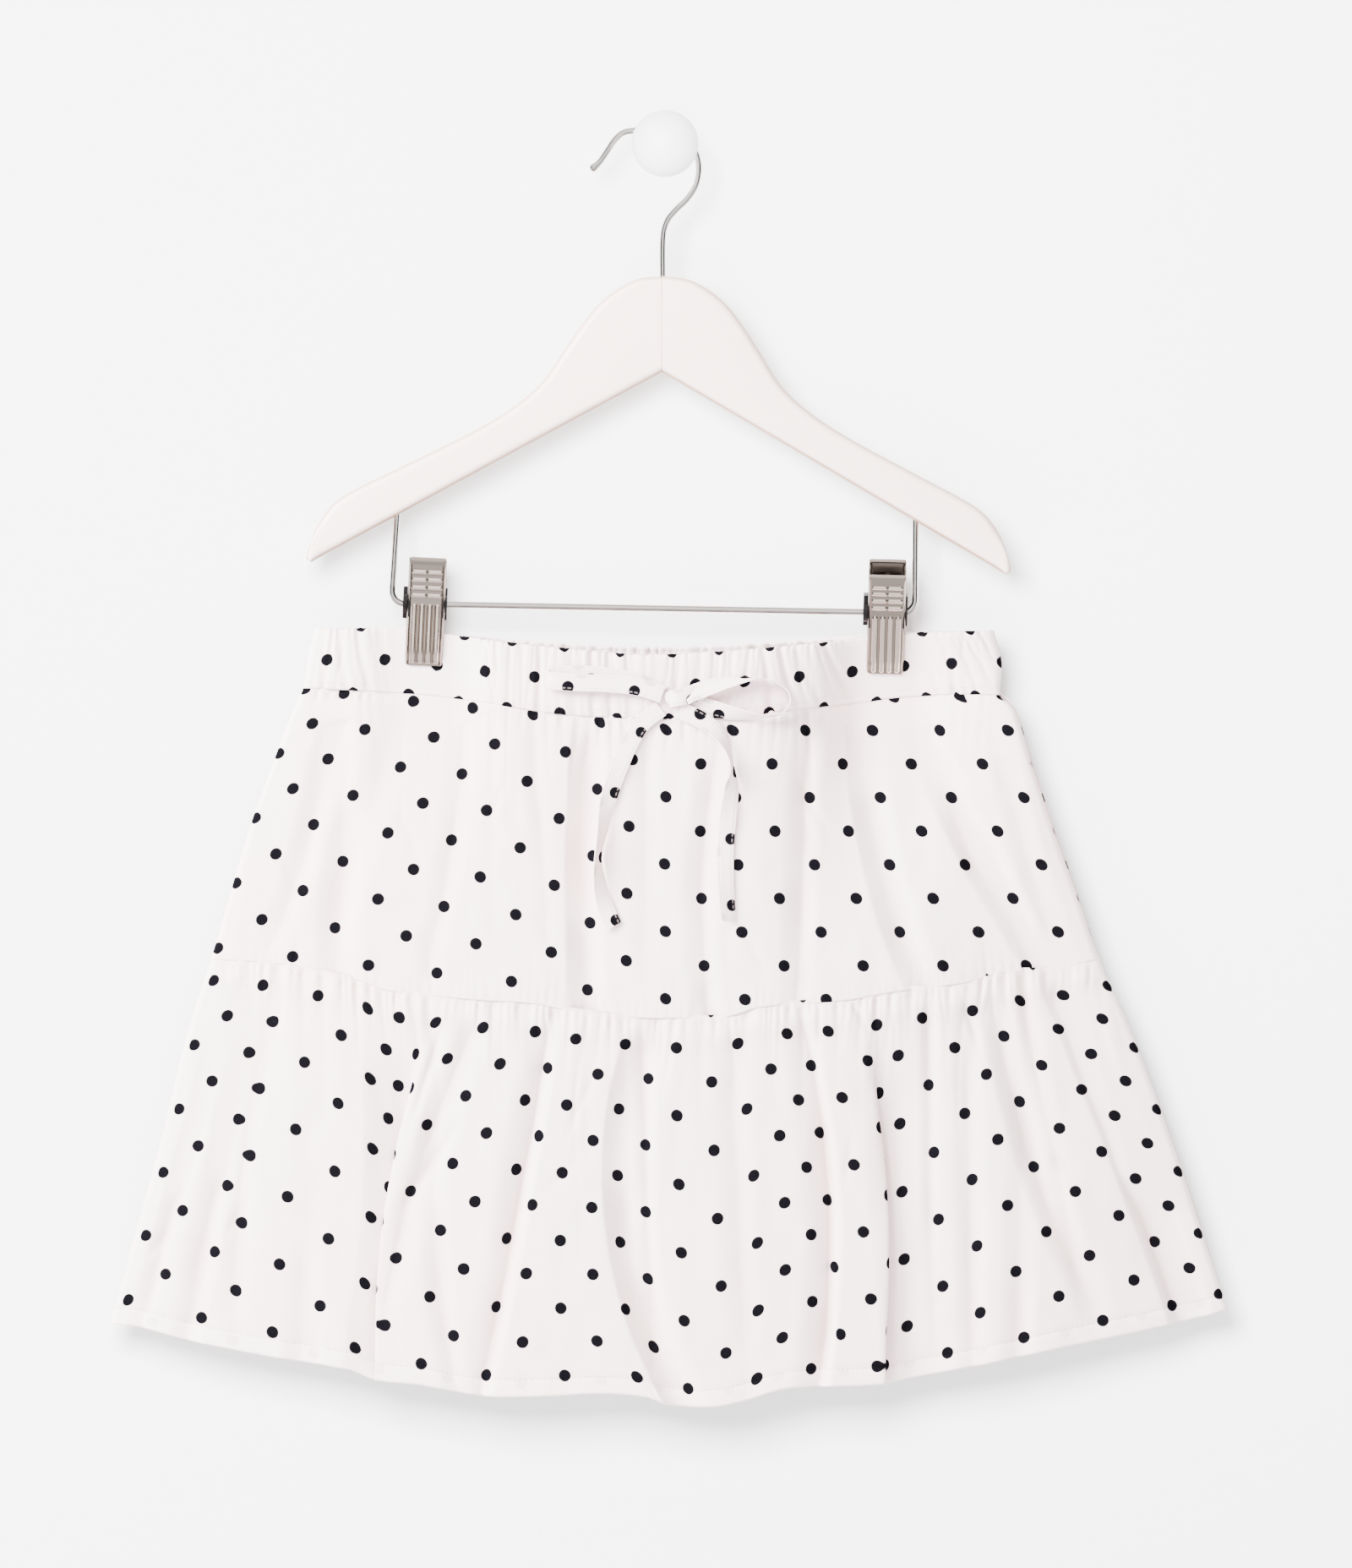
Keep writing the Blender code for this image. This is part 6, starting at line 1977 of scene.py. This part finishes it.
def soft_light(name, at, size, power):
    """White square softbox aimed at the middle of the skort."""
    data = bpy.data.lights.new(name, "AREA")
    data.shape = "SQUARE"
    data.size = size
    data.energy = power
    light = add_object(name, data)
    light.location = at
    aim = Vector(AIM) - Vector(at)
    light.rotation_euler = aim.to_track_quat("-Z", "Y").to_euler()
    return light


def add_linked(linked, pieces, state):
    """Add pieces to the ones that a light treats in its own way."""
    for piece in pieces:
        linked.objects.link(piece)
    for item in linked.collection_objects:
        item.light_linking.link_state = state


def link_lights(states, *pieces):
    """Set which pieces some lights reach: only those given, or all but them."""
    for light_name, state in states.items():
        linking = bpy.data.objects[light_name].light_linking
        if linking.receiver_collection is None:
            linking.receiver_collection = bpy.data.collections.new("linked to " + light_name)
        add_linked(linking.receiver_collection, pieces, state)


def pass_light(light, *pieces):
    """Let a light through some pieces."""
    passed = bpy.data.collections.new("passed by " + light.name)
    light.light_linking.blocker_collection = passed
    add_linked(passed, pieces, "EXCLUDE")


def light_back(piece):
    """Let the back light reach a piece, and keep its glow off the wall."""
    link_lights(BACK_LIGHTS, piece)
    piece.visible_diffuse = False


def set_world(strength):
    """Studio round the skort: bright in front, overhead and below, dark at the sides."""
    paint = Paint("studio", world=True)
    direction = paint.place("Generated")
    towards = {0: direction, 1: FRONT_TOWARDS}
    ahead = paint.node("ShaderNodeVectorMath", {"operation": "DOT_PRODUCT"}, towards, 1)
    up = paint.parts(direction)[2]
    front = ahead.rise(*FRONT_SPREAD) * FRONT_SKY
    top = up.rise(*TOP_SPREAD) * TOP_SKY
    low = up.rise(*LOW_SPREAD) * LOW_SKY
    sockets = {"Color": SKY_COLOUR, "Strength": (front + top + low + SIDE_SKY) * strength}
    bpy.context.scene.world = paint.close(paint.node("ShaderNodeBackground", None, sockets))


def set_camera():
    """Camera square to the wall, at the photograph's scale."""
    data = bpy.data.cameras.new("camera")
    data.sensor_width = SENSOR
    data.lens = SENSOR * VIEW_DISTANCE / (VIEW_HEIGHT * MM)
    data.clip_start = 0.05
    camera = add_object("camera", data)
    camera.location = (VIEW_X * MM, -HANG_DEPTH * MM - VIEW_DISTANCE, VIEW_Z * MM)
    camera.rotation_euler = (math.pi / 2, 0.0, 0.0)
    bpy.context.scene.camera = camera


# ---- Sizes and finishes that a user may change ----

def amount(name, description, default, unit="NONE"):
    """Size, power or strength that a user may change."""
    return FloatProperty(name=name, description=description, default=default, unit=unit)


class SkortSizes(bpy.types.PropertyGroup):
    """Sizes of the print, the stitching, the tape and the wires."""

    dot_radius: amount("Dot radius", "Radius of a printed dot", 0.0026, "LENGTH")
    hem_depth: amount("Hem depth", "How far the frill's hem is turned up", 0.0072, "LENGTH")
    tape_width: amount("Tape width", "Width of the bow's tape", 0.0072, "LENGTH")
    wire: amount("Wire", "Thickness of the hook and the bar", 0.0026, "LENGTH")
    wall_power: amount("Wall light", "Power of the softbox on the wall", 325.0, "POWER")
    key_power: amount("Key light", "Power of the softbox in front", 100.0, "POWER")
    side_power: amount(
        "Side light", "Power of the light that rakes the folds from the left", 215.0, "POWER"
    )
    back_power: amount("Back light", "Power of the light on the back of the cloth", 85.0, "POWER")
    world_strength: amount("Ambient light", "Strength of the even light from all round", 1.0)


def colour_property(name, description, default):
    """Colour that a user may change."""
    return FloatVectorProperty(
        name=name, description=description, default=default, subtype="COLOR", min=0.0, max=1.0
    )


class SkortFinishes(bpy.types.PropertyGroup):
    """Colours of the cloth, wood, metal, knob and stage."""

    cotton: colour_property("Cotton", "White of the cloth", (0.86, 0.698, 0.708))
    dots: colour_property("Dots", "Near black of the printed dots", (0.0022, 0.002, 0.0028))
    wood: colour_property("Painted wood", "White paint of the hanger", (0.84, 0.66, 0.61))
    chrome: colour_property("Chrome", "Hook and bar", (0.6, 0.57, 0.56))
    nickel: colour_property("Nickel", "Clip plates", (0.415, 0.343, 0.3))
    steel: colour_property("Spring steel", "Springs of the clips", (0.035, 0.032, 0.034))
    knob: colour_property("Knob paint", "White of the ball knob", (0.7, 0.695, 0.685))
    wall: colour_property("Wall", "Pale grey of the wall", (0.74, 0.74, 0.74))
    floor: colour_property("Floor", "Pale floor", (0.74, 0.74, 0.74))


# ---- One operator for each piece or group of like pieces ----

class SkortOperator:
    """Shared reading of the sizes and finishes."""

    bl_options = {"REGISTER", "UNDO"}

    def execute(self, context):
        """Make the pieces."""
        self.build(context.scene.skort_sizes, context.scene.skort_finishes)
        return {"FINISHED"}


class SKORT_OT_stage(SkortOperator, bpy.types.Operator):
    """Make the wall, floor, lights and camera"""

    bl_idname = "skort.stage"
    bl_label = "Stage"

    def build(self, sizes, finishes):
        """Set the stage."""
        set_camera()
        set_world(sizes.world_strength)
        upright = [(x, WALL_BACK * MM, z) for x, z in corners(FLOOR_Z, WALL_REACH)]
        level = [(x, y, FLOOR_Z) for x, y in corners(-WALL_REACH, WALL_REACH)]
        wall = stage_plane("wall", upright, wall_paint("wall paint", finishes.wall, True))
        floor = stage_plane("floor", level, wall_paint("floor paint", finishes.floor, False))
        floor.visible_glossy = False
        soft_light("wall light", WALL_LIGHT_FROM, WALL_LIGHT_SIZE, sizes.wall_power)
        soft_light("key light", KEY_FROM, KEY_SIZE, sizes.key_power)
        soft_light("side light", SIDE_FROM, SIDE_SIZE, sizes.side_power)
        back_light = soft_light("back light", BACK_FROM, BACK_SIZE, sizes.back_power)
        pass_light(back_light, wall, floor)
        link_lights(ALL_LIGHTS, wall, floor)


class SKORT_OT_waistband(SkortOperator, bpy.types.Operator):
    """Make the ruched waistband, front and back"""

    bl_idname = "skort.waistband"
    bl_label = "Waistband"

    def build(self, sizes, finishes):
        """Make both sides."""
        material = cotton("ruched dotted cotton", sizes, finishes, stitch_at=BAND_STITCH * MM)
        for side in SIDES:
            band_panel(side, material)


class SKORT_OT_tier(SkortOperator, bpy.types.Operator):
    """Make the upper tier, front and back"""

    bl_idname = "skort.tier"
    bl_label = "Upper tier"

    def build(self, sizes, finishes):
        """Make both sides."""
        material = cotton("dotted cotton of the tier", sizes, finishes, stitch_at=TIER_STITCH * MM)
        for side in SIDES:
            tier_panel(side, material)


class SKORT_OT_frill(SkortOperator, bpy.types.Operator):
    """Make the gathered frill, front and back"""

    bl_idname = "skort.frill"
    bl_label = "Frill"

    def build(self, sizes, finishes):
        """Make both sides."""
        material = cotton("dotted cotton of the frill", sizes, finishes, hem=True)
        for side in SIDES:
            frill_panel(side, material)


class SKORT_OT_shorts(SkortOperator, bpy.types.Operator):
    """Make the plain inner shorts"""

    bl_idname = "skort.shorts"
    bl_label = "Inner shorts"

    def build(self, sizes, finishes):
        """Make the four panels."""
        stitch_at = SHORTS_STITCH * MM
        material = cotton("plain cotton", sizes, finishes, dots=False, stitch_at=stitch_at)
        for side in SIDES:
            for right in (False, True):
                shorts_panel(side, right, material)


class SKORT_OT_bow(SkortOperator, bpy.types.Operator):
    """Make the bow of flat tape on the waistband"""

    bl_idname = "skort.bow"
    bl_label = "Bow"

    def build(self, sizes, finishes):
        """Make two loops, two tails and the wrap."""
        material = cotton("dotted cotton tape", sizes, finishes, tape=True)
        trees = cloth_trees(bpy.data.objects["band_front"], bpy.data.objects["tier_cloth_front"])
        strands = (
            ("tie_tape_left_tail", "tie_tail_left", TAIL_LEFT, "bare", 3, 0.12),
            ("tie_tape_right_tail", "tie_tail_right", TAIL_RIGHT, "bare", 4, -0.2),
            ("tie_tape_left_loop", "tie_loop_left", LOOP_LEFT, "object", 5, 0.0),
            ("tie_tape_right_loop", "tie_loop_right", LOOP_RIGHT, "object", 6, 0.0),
        )
        for name, node, rows, far_end, seed, slant in strands:
            tape_piece(name, node, rows, trees, sizes, material, seed, slant)
        knot_core(trees, material)
        knot_wrap(trees, sizes, material)


class SKORT_OT_hanger(SkortOperator, bpy.types.Operator):
    """Make the two painted wooden arms of the hanger"""

    bl_idname = "skort.hanger"
    bl_label = "Hanger"

    def build(self, sizes, finishes):
        """Make both arms."""
        material = painted_wood(finishes)
        for side in ("left", "right"):
            arm_piece(side, material)


class SKORT_OT_wires(SkortOperator, bpy.types.Operator):
    """Make the hook and the bar"""

    bl_idname = "skort.wires"
    bl_label = "Hook and bar"

    def build(self, sizes, finishes):
        """Make both wires."""
        # The wire's faces turned up and down get a painted dark reflection.
        material = worn_metal(
            "bright chromed wire", finishes.chrome, 0.18, (1.0, 1.0, 1.0), 0.25, dark_reflection=0.75
        )
        hook_piece(sizes, material)
        bar_piece(sizes, material)


class SKORT_OT_clips(SkortOperator, bpy.types.Operator):
    """Make the two sprung clips"""

    bl_idname = "skort.clips"
    bl_label = "Clips"

    def build(self, sizes, finishes):
        """Make both plates and the spring of each clip."""
        streak = (1.0, 1.0, 0.15)
        nickel = worn_metal("satin nickel plate", finishes.nickel, 0.24, streak, 0.3, True)
        # The plates' inner faces take a darker copy of the nickel: painted shade.
        dull_and_shaded = scaled(finishes.nickel, 0.45)
        inside = worn_metal("dull inside of the plates", dull_and_shaded, 0.3, streak, 0.3)
        # This near-black steel is the springs' own colour, and on the clips' ears it is painted
        # shade.
        steel = worn_metal("dark spring steel", finishes.steel, 0.42, (1.0, 1.0, 1.0), 0.4)
        for clip in CLIPS:
            for side in SIDES:
                clip_plate(clip, side, nickel, inside, steel)
            spring_piece(clip, sizes, steel)


class SKORT_OT_knob(SkortOperator, bpy.types.Operator):
    """Make the ball knob on the wall"""

    bl_idname = "skort.knob"
    bl_label = "Wall knob"

    def build(self, sizes, finishes):
        """Make the knob."""
        knob_piece(knob_paint(finishes))


OPERATORS = (
    SKORT_OT_stage,
    SKORT_OT_waistband,
    SKORT_OT_tier,
    SKORT_OT_frill,
    SKORT_OT_shorts,
    SKORT_OT_bow,
    SKORT_OT_hanger,
    SKORT_OT_wires,
    SKORT_OT_clips,
    SKORT_OT_knob,
)


class SKORT_PT_panel(bpy.types.Panel):
    """Panel that lists the pieces in the order they are made"""

    bl_idname = "SKORT_PT_panel"
    bl_label = "Dotted skort"
    bl_space_type = "VIEW_3D"
    bl_region_type = "UI"
    bl_category = "Skort"

    def draw(self, context):
        """Draw the sizes, finishes and buttons."""
        for group in (context.scene.skort_sizes, context.scene.skort_finishes):
            for name in type(group).__annotations__:
                self.layout.prop(group, name)
        for operator in OPERATORS:
            self.layout.operator(operator.bl_idname)


CLASSES = (SkortSizes, SkortFinishes) + OPERATORS + (SKORT_PT_panel,)


def register():
    """Register the classes and the scene's properties."""
    for made in CLASSES:
        bpy.utils.register_class(made)
    bpy.types.Scene.skort_sizes = PointerProperty(type=SkortSizes)
    bpy.types.Scene.skort_finishes = PointerProperty(type=SkortFinishes)


def unregister():
    """Remove what register made."""
    del bpy.types.Scene.skort_finishes
    del bpy.types.Scene.skort_sizes
    for made in reversed(CLASSES):
        bpy.utils.unregister_class(made)


def main():
    """Make every piece in order."""
    register()
    for operator in OPERATORS:
        group, name = operator.bl_idname.split(".")
        getattr(getattr(bpy.ops, group), name)()


if __name__ == "__main__":
    main()
